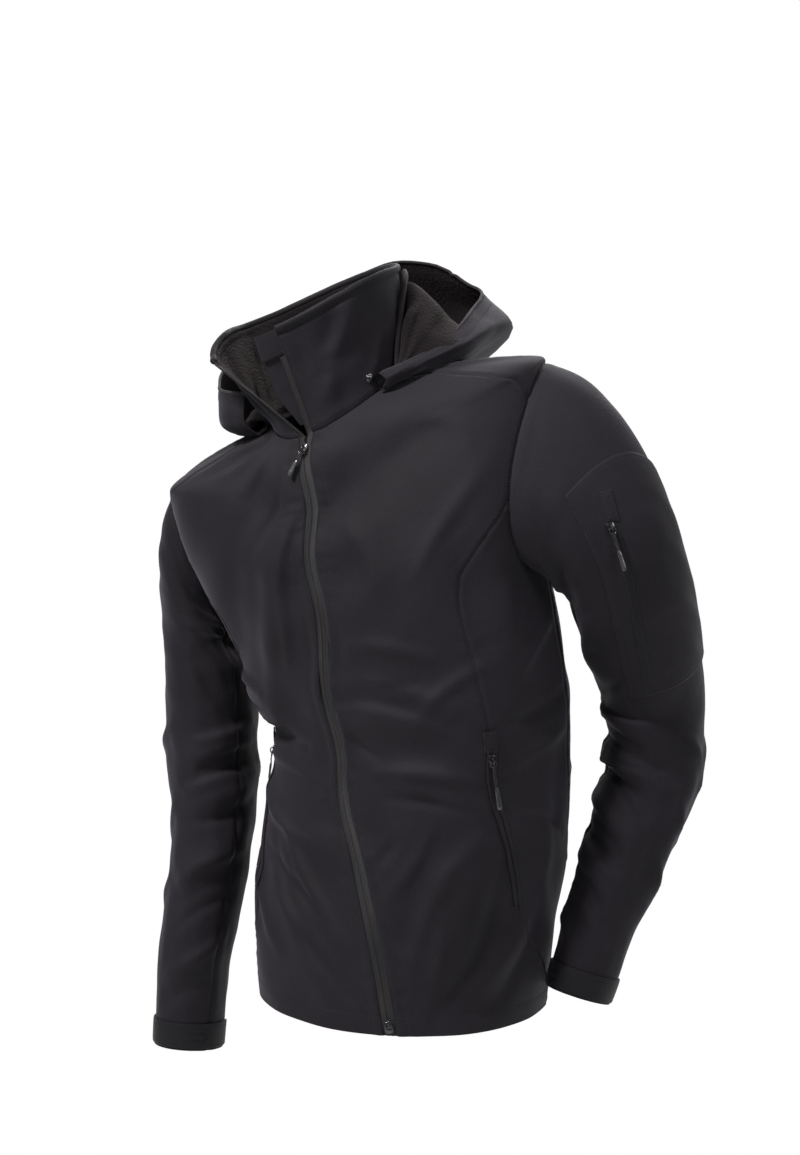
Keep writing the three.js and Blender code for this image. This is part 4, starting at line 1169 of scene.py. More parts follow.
@dataclass(frozen=True)
class Softshell(Finish):
    """Tightly woven stretch cloth with a faint nap."""

    weave: float = 0.00035

    def detail(self, nodes: Nodes) -> None:
        """Mottled colour, fine weave, grain and sheen."""
        broad, grain = nodes.noise(7, 4), nodes.noise(750, 2)
        tone = nodes.sum((broad, 0.55), (grain, 0.45))
        nodes.shade(
            Base_Color=nodes.ramp(tone, self.dark, self.light, 0.36, 0.66),
            Sheen_Weight=0.10, Sheen_Roughness=0.40, Sheen_Tint=(0.80, 0.76, 0.88, 1),
            Specular_IOR_Level=0.16,
        )
        weave = nodes.sum((nodes.bands("X", 1100, 0.8), 0.22), (nodes.bands("Y", 1100, 0.8), 0.22),
                          (grain, 0.8), (nodes.noise(170, 4), 1.3))
        nodes.bump(weave, self.weave, 0.55)


@dataclass(frozen=True)
class Fleece(Finish):
    """Short, dense pile."""

    def detail(self, nodes: Nodes) -> None:
        """Clumps of pile with a soft edge glow."""
        place = nodes.add("TexCoord").outputs["Object"]
        cells = nodes.add("TexVoronoi", Vector=place, Scale=420.0).outputs["Distance"]
        height = nodes.sum((cells, 0.7), (nodes.noise(260, 4), 1.0), (nodes.noise(900, 2), 0.6))
        nodes.shade(Base_Color=nodes.ramp(height, self.dark, self.light, 0.5, 1.5),
                    Sheen_Weight=0.10, Sheen_Roughness=0.6, Sheen_Tint=(0.8, 0.72, 0.70, 1),
                    Specular_IOR_Level=0.05)
        nodes.bump(height, 0.0011, 0.8)


@dataclass(frozen=True)
class Tape(Finish):
    """Zip tape, with the coil felt through it as fine ribs."""

    ribs: float = 700.0

    def detail(self, nodes: Nodes) -> None:
        """Ribs across and a twill between them."""
        height = nodes.sum((nodes.bands("Y", self.ribs, 0.2), 1.0), (nodes.noise(900, 2), 0.5))
        nodes.shade(Sheen_Weight=0.06, Specular_IOR_Level=0.22)
        nodes.bump(height, 0.00032, 0.6)


@dataclass(frozen=True)
class Metal(Finish):
    """Plated die-cast metal, rubbed where it is handled."""

    def detail(self, nodes: Nodes) -> None:
        """Light wear and a slight cast grain."""
        worn = nodes.noise(420, 5)
        nodes.shade(Metallic=0.9, Roughness=nodes.sum((worn, 0.22), (nodes.noise(60), 0.24)))
        nodes.bump(worn, 0.00005, 0.3)


@dataclass(frozen=True)
class Moulded(Finish):
    """Smooth moulded rubber or plastic."""

    def detail(self, nodes: Nodes) -> None:
        """A clear gloss with faint flow marks."""
        nodes.shade(Coat_Weight=0.5, Coat_Roughness=0.18)
        nodes.bump(nodes.noise(150, 3), 0.00012, 0.35)


@dataclass(frozen=True)
class Braid(Finish):
    """Braided or twisted thread."""

    pitch: float = 900.0

    def detail(self, nodes: Nodes) -> None:
        """Strands that cross."""
        height = nodes.sum((nodes.bands("X", self.pitch, 1.5), 0.6),
                           (nodes.bands("Y", self.pitch, 1.5), 0.6), (nodes.noise(1500, 2), 0.4))
        nodes.shade(Sheen_Weight=0.06, Specular_IOR_Level=0.2)
        nodes.bump(height, 0.0003, 0.7)


@dataclass(frozen=True)
class Ground(Finish):
    """The pale, matte floor."""

    def detail(self, nodes: Nodes) -> None:
        """Very faint mottling."""
        nodes.shade(Specular_IOR_Level=0.15)
        nodes.bump(nodes.noise(30, 4), 0.0004, 0.2)


class Look(Enum):
    """The finishes in use."""

    SHELL = Softshell("shell_cloth", (0.0086, 0.0074, 0.0098), (0.0158, 0.0136, 0.0178), 0.72)
    TRIM = Softshell("trim_cloth", (0.0062, 0.0056, 0.0070), (0.0118, 0.0108, 0.0130), 0.62)
    FLEECE = Fleece("fleece_lining", (0.0024, 0.0019, 0.0024), (0.0072, 0.0058, 0.0070), 0.95)
    BINDING = Braid("edge_binding", (0.013, 0.0115, 0.0145), (0.026, 0.0235, 0.028), 0.7)
    THREAD = Braid("sewing_thread", (0.0105, 0.0092, 0.0118), (0.0205, 0.0182, 0.0225), 0.6, 1800.0)
    TAPE = Tape("zip_tape_cloth", (0.0105, 0.0100, 0.0112), (0.0205, 0.0200, 0.0215), 0.55)
    COIL = Tape("zip_coil", (0.0125, 0.0125, 0.0135), (0.026, 0.026, 0.028), 0.40, 650.0)
    METAL = Metal("dark_metal", (0.042, 0.042, 0.046), (0.095, 0.095, 0.10), 0.35)
    TIP = Moulded("moulded_tip", (0.026, 0.026, 0.030), (0.052, 0.052, 0.057), 0.22)
    CORD = Braid("pull_cord", (0.016, 0.015, 0.017), (0.045, 0.043, 0.048), 0.6, 1400.0)

    @property
    def material(self) -> bpy.types.Material:
        """The material, made once."""
        return bpy.data.materials.get(self.value.name) or self.value.build()


# ---- Pieces ----


class Piece:
    """Gathers the faces of one object, in millimetres, and builds it."""

    def __init__(self, name: str) -> None:
        """Starts an empty piece.

        Args:
            name: the object's name.
        """
        self.name = name
        self.points: list[Array] = []
        self.layout: list[Array] = []
        self.faces: list[Sequence[int]] = []
        self.slots: list[int] = []
        self.looks: list[Look] = []
        self.count = 0

    def slot(self, look: Look) -> int:
        """Index of a finish on this piece."""
        if look not in self.looks:
            self.looks.append(look)
        return self.looks.index(look)

    def vertices(self, points: Array, layout: Array | None = None) -> int:
        """Adds points.

        Args:
            points: any array of points.
            layout: flat places in millimetres for the weave, or none.

        Returns:
            Index of the first new point.
        """
        points = np.asarray(points, float).reshape(-1, 3)
        flat = points[:, :2] if layout is None else np.asarray(layout, float).reshape(-1, 2)
        first = self.count
        self.points.append(points)
        self.layout.append(flat)
        self.count += len(points)
        return first

    def add_faces(self, faces: Iterable[Sequence[int]], look: Look) -> None:
        """Adds faces of one finish."""
        faces = list(faces)
        self.faces.extend(faces)
        self.slots.extend([self.slot(look)] * len(faces))

    def grid(self, points: Array, look: Look, layout: Array | None = None, flip: bool = False,
             wrap: bool = False) -> None:
        """Adds a net of four-sided faces.

        Args:
            points: rows and columns of points.
            look: its finish.
            layout: flat places in millimetres, or none.
            flip: whether the faces look the other way.
            wrap: whether the last column joins the first.
        """
        rows, columns = points.shape[:2]
        first = self.vertices(points, layout)
        index = first + np.arange(rows * columns).reshape(rows, columns)
        right = np.roll(index, -1, axis=1) if wrap else index[:, 1:]
        left = index if wrap else index[:, :-1]
        quads = np.stack([left[:-1], right[:-1], right[1:], left[1:]], -1).reshape(-1, 4)
        self.add_faces((quads[:, ::-1] if flip else quads).tolist(), look)

    def shell(self, grid: ClothGrid, outer: Look, inner: Look, thick: float = 1.5,
              flip: bool = False) -> None:
        """Adds cloth with an outer face, a lining face and a rim.

        Args:
            grid: the cloth.
            outer: finish of the outer face and the rim.
            inner: finish of the inner face.
            thick: millimetres between them.
            flip: whether the grid runs the other way round.
        """
        form = grid.form
        layout = np.stack([grid.a * form.around, grid.b * form.length], -1)
        inside = grid.points - grid.normals * thick
        self.grid(grid.points, outer, layout, flip)
        self.grid(inside, inner, layout, not flip)
        loops = [(grid.points[edge], inside[edge], layout[edge], turned_over) for edge, turned_over in (
            ((0, slice(None)), True), ((-1, slice(None)), False),
            ((slice(None), 0), False), ((slice(None), -1), True))]
        for top, bottom, flat, turned_over in loops:
            self.grid(np.stack([top, bottom], 1), outer, np.stack([flat, flat], 1),
                      flip != turned_over)

    def close_ends(self, first: int, last: int, sides: int, look: Look) -> None:
        """Fills the first and the last ring of a run of rings.

        Args:
            first: index of the first point of the first ring.
            last: index of the first point of the last ring.
            sides: points in a ring.
            look: finish of the two faces.
        """
        self.add_faces([[*range(first, first + sides)][::-1], [*range(last, last + sides)]], look)

    def tube(self, line: Array, out: Array, wide: Array | float, tall: Array | float, look: Look,
             sides: int = 10, square: float = 1.0) -> None:
        """Adds a tube with closed ends.

        Args:
            line: its middle line.
            out: the way its height points, at each place.
            wide: half its width, one or for each place.
            tall: half its height.
            look: its finish.
            sides: faces round it.
            square: 1 for an oval section, less for a boxy one.
        """
        way = unit(np.gradient(line, axis=0))
        across = unit(np.cross(way, out))
        up = np.cross(across, way)
        angle = np.linspace(0, 2 * np.pi, sides, endpoint=False)
        wide = np.broadcast_to(wide, (len(line),))[:, None, None]
        tall = np.broadcast_to(tall, (len(line),))[:, None, None]
        cosine, sine = (np.sign(f(angle)) * np.abs(f(angle)) ** square for f in (np.cos, np.sin))
        ring = (line[:, None] + across[:, None] * wide * cosine[None, :, None]
                + up[:, None] * tall * sine[None, :, None])
        reach = np.concatenate([[0], np.cumsum(np.linalg.norm(np.diff(line, axis=0), axis=1))])
        layout = np.stack(np.broadcast_arrays(angle[None, :] * 2.0, reach[:, None]), -1)
        first = self.count
        self.grid(ring, look, layout, wrap=True)
        last = first + (len(line) - 1) * sides
        self.close_ends(first, last, sides, look)

    def stitches(self, line: Array, out: Array, look: Look = Look.THREAD, pitch: float = 3.5,
                 length: float = 2.6, wide: float = 0.42, tall: float = 0.42) -> None:
        """Adds a row of stitches.

        Args:
            line: the line that they follow.
            out: the cloth's normals along it.
            look: their finish.
            pitch: millimetres from one to the next.
            length: millimetres of thread that shows.
            wide: half the thread's width.
            tall: how far it stands up.
        """
        reach = np.concatenate([[0], np.cumsum(np.linalg.norm(np.diff(line, axis=0), axis=1))])
        count = max(1, int(reach[-1] / pitch))
        at = (np.arange(count) + 0.5) * reach[-1] / count

        def read(values: Array, places: Array) -> Array:
            """Values along the line."""
            return np.stack([np.interp(places, reach, values[:, k]) for k in range(3)], -1)

        middle, up = read(line, at), unit(read(out, at))
        along = unit(read(line, at + 0.5) - read(line, at - 0.5))
        across = unit(np.cross(along, up))
        points = np.stack([
            middle - along * length / 2, middle + across * wide, middle + along * length / 2,
            middle - across * wide, middle + up * tall, middle - up * 0.3,
        ], 1)
        first = self.vertices(points)
        corners = np.array([[0, 1, 4], [1, 2, 4], [2, 3, 4], [3, 0, 4],
                            [1, 0, 5], [2, 1, 5], [3, 2, 5], [0, 3, 5]])
        faces = (first + np.arange(count)[:, None, None] * 6 + corners).reshape(-1, 3)
        self.add_faces(faces.tolist(), look)

    def build(self, body: str = ROOT_BODY, slot: str = "shell",
              smooth_faces: bool = True) -> bpy.types.Object:
        """Makes the object.

        Args:
            body: the body that it rides on.
            slot: not used.
            smooth_faces: whether it is shaded smooth.

        Returns:
            The object.
        """
        mesh = bpy.data.meshes.new(self.name)
        mesh.from_pydata((np.concatenate(self.points) * MM).tolist(), [], self.faces)
        flat = np.concatenate(self.layout) * MM
        corner = np.empty(len(mesh.loops), np.int32)
        mesh.loops.foreach_get("vertex_index", corner)
        layer = mesh.uv_layers.new(name="cloth")
        layer.data.foreach_set("uv", flat[corner].ravel())
        for look in self.looks:
            mesh.materials.append(look.material)
        mesh.polygons.foreach_set("material_index", np.array(self.slots, np.int32))
        mesh.polygons.foreach_set("use_smooth", np.full(len(self.faces), smooth_faces))
        mesh.update()
        thing = bpy.data.objects.new(self.name, mesh)
        bpy.context.scene.collection.objects.link(thing)
        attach(thing, body)
        log.info("%s: %d faces on %s", self.name, len(self.faces), body)
        return thing


def seam_dip(gap: Array, depth: float = 1.0) -> Array:
    """Cloth drawn in at a seam and puffed up beside it."""
    return -depth * np.exp(-((gap / 2.2) ** 2)) + 0.45 * depth * np.exp(-(((gap - 7.5) / 4.0) ** 2))


def seam_dips(grid: ClothGrid, *rims: Rim) -> Array:
    """Cloth drawn in at several of its seams."""
    return sum(seam_dip(grid.gaps[rim]) for rim in rims)


def groove(gap: Array, at: float, depth: float = 0.45) -> Array:
    """Cloth pressed down by a line of stitches."""
    return -depth * np.exp(-(((gap - at) / 1.5) ** 2))


def coil_ridges(grid: ClothGrid, height: float) -> Array:
    """The two ridges of a closed coil under a strip, with a fine line between them."""
    middle = grid.middle()
    return (height * np.exp(-(((np.abs(middle) - 1.3) / 0.9) ** 2))
            - 0.4 * np.exp(-((middle / 0.4) ** 2)))


def hem_band(gap: Array, width: float = 20.0) -> Array:
    """A turned hem: a thicker band with a stitch groove at its top."""
    return 0.6 * (1 - smooth(gap, width - 1, width + 2)) + groove(gap, width, 0.8)


class Sewing:
    """Collects the stitches of one part of the jacket into one object."""

    def __init__(self, name: str) -> None:
        """Starts with no stitches.

        Args:
            name: the object's name.
        """
        self.piece = Piece(name)

    def row(self, grid: ClothGrid, rim: Rim, *gaps: float) -> None:
        """Stitches along one edge of a cloth, at distances from it."""
        for gap in gaps:
            self.piece.stitches(*grid.line(rim, gap, 0.02))

    def all_round(self, grid: ClothGrid, gap: float) -> None:
        """Stitches along all four edges, at one distance from them."""
        for rim in Rim:
            self.row(grid, rim, gap)

    def build(self) -> bpy.types.Object:
        """Makes the object."""
        return self.piece.build(smooth_faces=False)


NARROWEST_SHEET = 0.02


def cloth(grid: ClothGrid, node: str, flip: bool = False,
          inner: Look = Look.FLEECE, thick: float = 1.5, outer: Look = Look.SHELL) -> bpy.types.Object:
    """Builds a piece of cloth that stands for a node and says what size it was cut to.

    Args:
        grid: the cloth.
        node: the node that it replaces.
        flip: whether the grid runs the other way round.
        inner: finish of its inner face.
        thick: its thickness in millimetres.
        outer: finish of its outer face.

    Returns:
        The object.
    """
    piece = Piece(node + "_cloth")
    piece.shell(grid, outer, inner, thick, flip)
    thing = piece.build()
    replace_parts(thing, node)
    width, length, area = grid.flat_size()
    if width >= NARROWEST_SHEET:
        round(min(area, width * length), 4)
    log.info("%s: cut %.3f x %.3f m, %.4f m2", node, width, length, area)
    return thing


# ---- The trunk ----

POCKET_ROWS = (6.0, 14.0, 15.0)
POCKET_LEVEL = float(TRUNK.princess[1, 1]) * (POCKET_ROWS[1] - 0.36)
POCKET_SLIDER = (float(PRINCESS(POCKET_LEVEL)), POCKET_LEVEL)
ARM_SLIDER = (0.1695, 0.186)
FRONT_SLIDER = 0.972
# Cloth lies calm this near a slider, in millimetres, so that the pull can swing.
CALM_RADIUS = 17.0
# Height of the collar at the front, in millimetres.
COLLAR_HEIGHT = 115.0
# Height of each slider's foot above its form, in millimetres.
FRONT_RISE, POCKET_RISE, ARM_RISE = 0.3, 2.31, 3.9


@dataclass
class Trunk:
    """Fronts, side panels, yokes and back, with their seams and stitching."""

    step: float = 4.0
    hem_deep: float = 20.0
    zip_stitches: tuple[float, float] = (2.2, 14.0)
    seam_stitch: float = 5.6
    creases: list[Fold] = field(default_factory=lambda: fold_rows([
        # Left front: drags from the pocket to the zip and under the arm.
        (0.045, 0.620, 0.135, 0.585, 2.2, 8, 6), (0.030, 0.560, 0.120, 0.548, -1.8, 7, -4),
        (0.055, 0.415, 0.165, 0.395, 2.4, 8, 5), (0.070, 0.372, 0.150, 0.345, -2.0, 7, 4),
        (0.150, 0.300, 0.040, 0.120, 2.6, 9, -9), (0.165, 0.255, 0.075, 0.060, -2.2, 8, 7),
        (0.110, 0.330, 0.028, 0.205, 1.8, 7, 5), (0.060, 0.300, 0.022, 0.250, -1.5, 6, 0),
        (0.185, 0.790, 0.130, 0.700, 2.0, 8, -5), (0.150, 0.880, 0.178, 0.800, 1.6, 7, 4),
        (0.060, 0.800, 0.085, 0.700, 1.8, 8, 5), (0.120, 0.500, 0.180, 0.560, 2.0, 7, 5),
        (0.020, 0.470, 0.060, 0.440, -1.8, 6, 0), (0.085, 0.180, 0.045, 0.040, 2.0, 8, 4),
        (0.215, 0.540, 0.270, 0.600, 2.4, 8, 5), (0.205, 0.480, 0.285, 0.500, -2.4, 7, -5),
        (0.212, 0.420, 0.280, 0.450, 2.2, 8, 3), (0.205, 0.330, 0.270, 0.290, -1.8, 7, 4),
        (0.190, 0.190, 0.085, 0.045, 2.2, 11, 5), (0.195, 0.150, 0.115, 0.030, -2.0, 9, 4),
        (0.012, 0.555, 0.155, 0.508, 2.0, 9, 14), (0.015, 0.532, 0.150, 0.480, -2.2, 8, 14),
        # Right front: long ridge beside the zip, drags from the pocket, gathers at the neck.
        (-0.030, 0.860, -0.062, 0.610, 2.4, 9, -6), (-0.055, 0.930, -0.098, 0.780, -2.0, 8, 5),
        (-0.112, 0.985, -0.148, 0.900, 2.8, 7, 4), (-0.135, 0.985, -0.172, 0.905, -2.4, 6, -3),
        (-0.160, 0.980, -0.190, 0.895, 2.2, 7, 3), (-0.085, 0.975, -0.120, 0.880, 1.8, 7, 2),
        (-0.210, 0.585, -0.125, 0.548, 2.4, 7, 4), (-0.225, 0.530, -0.105, 0.492, 2.8, 8, -5),
        (-0.180, 0.480, -0.060, 0.455, -2.2, 7, 4), (-0.165, 0.430, -0.045, 0.400, 2.0, 8, 5),
        (-0.170, 0.360, -0.070, 0.285, 2.2, 8, -6), (-0.150, 0.260, -0.050, 0.160, -2.0, 8, 5),
        (-0.110, 0.180, -0.040, 0.080, 2.0, 8, 4), (-0.190, 0.240, -0.130, 0.100, 1.8, 8, 0),
        (-0.105, 0.310, -0.020, 0.100, 2.2, 10, -6), (-0.128, 0.270, -0.042, 0.060, -2.2, 9, -6),
        (-0.240, 0.600, -0.275, 0.500, 2.2, 8, 4), (-0.215, 0.400, -0.275, 0.360, -2.0, 7, 3),
        # Back: drags across the waist and from the shoulder blades.
        (0.335, 0.560, 0.440, 0.520, 2.6, 9, 7), (0.350, 0.470, 0.470, 0.440, -2.4, 8, -5),
        (0.665, 0.575, 0.545, 0.535, 2.4, 9, -6), (0.650, 0.490, 0.520, 0.470, 2.8, 8, 5),
        (0.690, 0.430, 0.560, 0.400, -2.2, 8, 4), (0.330, 0.380, 0.430, 0.350, 2.2, 8, 5),
        (0.360, 0.760, 0.400, 0.640, 2.2, 9, -6), (0.640, 0.770, 0.605, 0.655, 2.0, 9, 5),
        (0.440, 0.880, 0.560, 0.868, 1.8, 9, 6), (0.460, 0.330, 0.540, 0.310, 2.0, 9, -5),
        (0.385, 0.240, 0.430, 0.090, 2.2, 9, 5), (0.610, 0.260, 0.560, 0.100, 2.0, 9, -4),
        (0.500, 0.230, 0.490, 0.060, -1.6, 9, 3), (0.315, 0.210, 0.345, 0.060, -1.8, 8, 3),
        # Shoulders.
        (0.225, 0.965, 0.250, 0.890, 1.8, 7, 3), (0.285, 0.960, 0.270, 0.890, -1.6, 7, 2),
        (-0.232, 0.965, -0.252, 0.885, 2.2, 7, -3), (-0.290, 0.955, -0.275, 0.890, 1.6, 7, 2),
    ]))
    strength: float = 2.1
    waves: Unevenness = Unevenness(41, 1.0)

    @staticmethod
    def calm(grid: ClothGrid) -> Array:
        """0 beside a pocket slider, rising to 1 away from it."""
        away = np.hypot((np.abs(grid.a) - POCKET_SLIDER[0]) * BODY.around,
                        (grid.b - POCKET_SLIDER[1]) * BODY.length)
        return 1 - np.exp(-((away / CALM_RADIUS) ** 2))

    def relief(self, grid: ClothGrid) -> Array:
        """Creases and waves, faded out at the armholes, the neck and the pocket sliders.

        Args:
            grid: one panel.

        Returns:
            Height in millimetres.
        """
        height = fold_height(self.creases, grid.a, grid.b, BODY.around, BODY.length) * self.strength
        height = height + self.waves(grid.a * BODY.around, grid.b * BODY.length)
        fade = smooth((1 - grid.b) * BODY.length, 0, 14)
        for hand in Hand:
            fade = fade * smooth(ARMHOLE.nearest(grid.a * hand.value, grid.b)[1], 0, 16)
        return height * fade * self.calm(grid)

    def panel(self, cut: Cut) -> ClothGrid:
        """One panel before its own details."""
        return ClothGrid(BODY, cut, self.step)

    def fronts(self, hand: Hand, sewing: Sewing) -> None:
        """Front, side panel and yoke of one side.

        Args:
            hand: the side.
            sewing: where the stitches go.
        """
        flip = hand is Hand.RIGHT
        front = self.panel(TRUNK.front.handed(hand))
        zip_gap, seam, low = front.gaps[Rim.NEAR], front.gaps[Rim.FAR], front.gaps[Rim.LOW]
        rolled = 1.3 * np.exp(-(((zip_gap - 4.5) / 4.5) ** 2)) - 1.1 * np.exp(-zip_gap / 0.9)
        front.displace(self.relief(front) + seam_dip(seam) + hem_band(low, self.hem_deep) + rolled
                       + puckers(low, zip_gap, 7 + flip) + groove(zip_gap, self.zip_stitches[1], 0.5)
                       + puckers(low, seam, 17 + flip, 12.0, 0.5))
        sewing.row(front, Rim.NEAR, *self.zip_stitches)
        sewing.row(front, Rim.FAR, self.seam_stitch)
        sewing.row(front, Rim.LOW, self.hem_deep)
        cloth(front, f"front_centre_{hand.word}", flip=flip)

        side = self.panel(TRUNK.side.handed(hand))
        low = side.gaps[Rim.LOW]
        side.displace(self.relief(side) + seam_dips(side, Rim.NEAR, Rim.FAR, Rim.HIGH)
                      + hem_band(low, self.hem_deep)
                      + puckers(low, side.gaps[Rim.NEAR], 27 + flip, 12.0, 0.6))
        sewing.row(side, Rim.LOW, self.hem_deep)
        cloth(side, f"front_side_{hand.word}", flip=flip)

        yoke = self.panel(TRUNK.yoke.handed(hand))
        yoke.displace(self.relief(yoke) + seam_dips(yoke, Rim.NEAR, Rim.FAR, Rim.HIGH))
        sewing.row(yoke, Rim.NEAR, self.seam_stitch)
        sewing.row(yoke, Rim.FAR, self.seam_stitch)
        cloth(yoke, f"yoke_{hand.word}", flip=not flip)

    def back(self, sewing: Sewing) -> None:
        """The back panel.

        Args:
            sewing: where the stitches go.
        """
        back = self.panel(TRUNK.back)
        low = back.gaps[Rim.LOW]
        back.displace(self.relief(back) + seam_dips(back, Rim.NEAR, Rim.FAR)
                      + hem_band(low, self.hem_deep)
                      + puckers(low, back.gaps[Rim.NEAR], 37, 14.0, 0.6)
                      + puckers(low, back.gaps[Rim.FAR], 38, 14.0, 0.6))
        sewing.row(back, Rim.LOW, self.hem_deep)
        cloth(back, "back")

    def build(self) -> None:
        """Builds the trunk."""
        sewing = Sewing("trunk_stitching")
        for hand in Hand:
            self.fronts(hand, sewing)
        self.back(sewing)
        sewing.build()


# ---- Sleeves ----


@dataclass
class Sleeve:
    """One sleeve in two panels, with its cuff tab."""

    hand: Hand
    step: float = 4.0
    cuff_deep: float = 18.0
    cap_stitch: float = 6.0
    tab_stitch: float = 3.2
    strength: float = 1.75
    tab: tuple[float, float, float, float] = (-0.10, 0.57, 0.962, 0.997)
    creases: dict[Hand, list[Fold]] = field(default_factory=lambda: {
        Hand.LEFT: fold_rows([
            # Across the bend of the elbow, pinched at the front and dying out to the sides.
            (0.44, 0.500, 0.20, 0.548, 2.8, 6, -5), (0.46, 0.545, 0.24, 0.590, -2.6, 5, 4),
            (0.47, 0.588, 0.17, 0.640, 3.2, 6, 6), (0.48, 0.630, 0.22, 0.690, -2.8, 5, -4),
            (0.45, 0.672, 0.16, 0.735, 3.0, 6, 5), (0.46, 0.718, 0.20, 0.782, -2.6, 5, 5),
            (0.44, 0.762, 0.16, 0.822, 3.0, 6, -5), (0.43, 0.812, 0.20, 0.868, -2.2, 5, 4),
            (0.42, 0.850, 0.14, 0.915, 2.6, 6, 4), (0.12, 0.560, -0.04, 0.640, 2.2, 7, 5),
            (0.10, 0.660, -0.06, 0.730, 2.0, 7, -4), (0.08, 0.760, -0.06, 0.850, 2.2, 7, 4),
            (0.55, 0.570, 0.68, 0.620, 2.2, 7, 4), (0.56, 0.690, 0.70, 0.750, -2.0, 7, 4),
            (0.62, 0.800, 0.78, 0.860, 2.0, 7, -3), (0.30, 0.300, 0.42, 0.420, 2.4, 7, 4),
            (0.26, 0.420, 0.40, 0.480, -2.2, 7, -3), (0.36, 0.100, 0.46, 0.240, 2.4, 7, 4),
            (0.72, 0.360, 0.84, 0.470, 2.2, 8, 5), (0.84, 0.560, 0.96, 0.640, 2.2, 8, -5),
            (0.50, 0.885, 0.30, 0.930, 2.0, 6, 3), (0.64, 0.120, 0.72, 0.280, -2.0, 8, 4),
        ]),
        Hand.RIGHT: fold_rows([
            (0.50, 0.470, 0.26, 0.505, 2.4, 6, -4), (0.52, 0.520, 0.28, 0.556, -2.2, 5, 4),
            (0.52, 0.562, 0.22, 0.598, 2.8, 6, 5), (0.50, 0.612, 0.26, 0.650, -2.2, 6, -4),
            (0.48, 0.690, 0.22, 0.760, 2.2, 7, 5), (0.46, 0.770, 0.24, 0.830, -2.0, 6, 4),
            (0.46, 0.830, 0.20, 0.900, 2.4, 6, -4), (0.40, 0.905, 0.18, 0.940, -1.8, 6, 3),
            (0.16, 0.480, 0.02, 0.540, 2.0, 8, 5), (0.14, 0.620, 0.00, 0.700, 1.8, 8, -5),
            (0.12, 0.760, -0.02, 0.850, 2.0, 8, 4), (0.58, 0.540, 0.72, 0.600, 2.2, 7, 4),
            (0.60, 0.700, 0.74, 0.770, -2.0, 7, 4), (0.34, 0.100, 0.44, 0.260, 2.4, 7, 4),
            (0.28, 0.260, 0.40, 0.400, -2.2, 7, -4), (0.24, 0.340, 0.34, 0.440, 2.0, 7, 4),
            (0.74, 0.300, 0.86, 0.420, 2.2, 8, 5), (0.86, 0.500, 0.98, 0.590, 2.0, 8, -4),
            (0.66, 0.120, 0.74, 0.280, -2.0, 8, 4), (0.64, 0.840, 0.80, 0.900, 2.0, 7, 3),
        ]),
    })

    def relief(self, grid: ClothGrid) -> Array:
        """Creases and waves, faded out at the armhole and under the tab.

        Args:
            grid: one panel.

        Returns:
            Height in millimetres.
        """
        form = grid.form
        folds = self.creases[self.hand]
        waves = Unevenness(60 + self.hand.value, 0.9, 22.0, 80.0)
        height = fold_height(folds, grid.a, grid.b, form.around, form.length) * self.strength
        height = height + waves(grid.a * form.around, grid.b * form.length)
        fade = smooth(grid.b * form.length, 0, 16) * (1 - 0.85 * smooth(grid.b, 0.935, 0.965))
        fade = fade * (1 - 0.8 * self.pocket_lies(grid))
        if self.hand is Hand.LEFT:
            turn = (grid.a - ARM_SLIDER[0] + 0.5) % 1.0 - 0.5
            away = np.hypot(turn * form.around, (grid.b - ARM_SLIDER[1]) * form.length)
            fade = fade * (1 - np.exp(-((away / CALM_RADIUS) ** 2)))
        return height * fade

    def pocket_lies(self, grid: ClothGrid) -> Array:
        """1 where the sleeve pocket lies on this sleeve, else 0."""
        if self.hand is Hand.RIGHT:
            return np.zeros_like(grid.b)
        turn = (grid.a + 0.5) % 1.0 - 0.5
        return (smooth(turn, -0.085, -0.06) * (1 - smooth(turn, 0.245, 0.27))
                * smooth(grid.b, 0.085, 0.11) * (1 - smooth(grid.b, 0.45, 0.47)))

    def build(self) -> None:
        """Builds the sleeve and its tab."""
        form, word = SLEEVES[self.hand], self.hand.word
        flip = self.hand is Hand.RIGHT
        sewing = Sewing(f"sleeve_stitching_{word}")
        front, rear = ARMHOLE.front_arm_seam, ARMHOLE.rear_arm_seam
        for part, start, end in (("top", rear, 1 + front), ("under", front, rear)):
            grid = ClothGrid(form, oblong(start, end, 0, 1), self.step)
            gaps = grid.gaps
            grid.displace(self.relief(grid) + seam_dips(grid, Rim.LOW, Rim.NEAR, Rim.FAR)
                          + groove(gaps[Rim.LOW], self.cap_stitch, 0.3)
                          + hem_band(gaps[Rim.HIGH], self.cuff_deep) * 0.6
                          + puckers(gaps[Rim.NEAR], gaps[Rim.LOW], 71 + flip, 16.0, 0.6))
            sewing.row(grid, Rim.LOW, self.cap_stitch)
            if part == "under":
                sewing.row(grid, Rim.HIGH, self.cuff_deep)
            cloth(grid, f"sleeve_{part}_{word}", flip=flip)
        self.build_tab(sewing, flip)
        sewing.build()

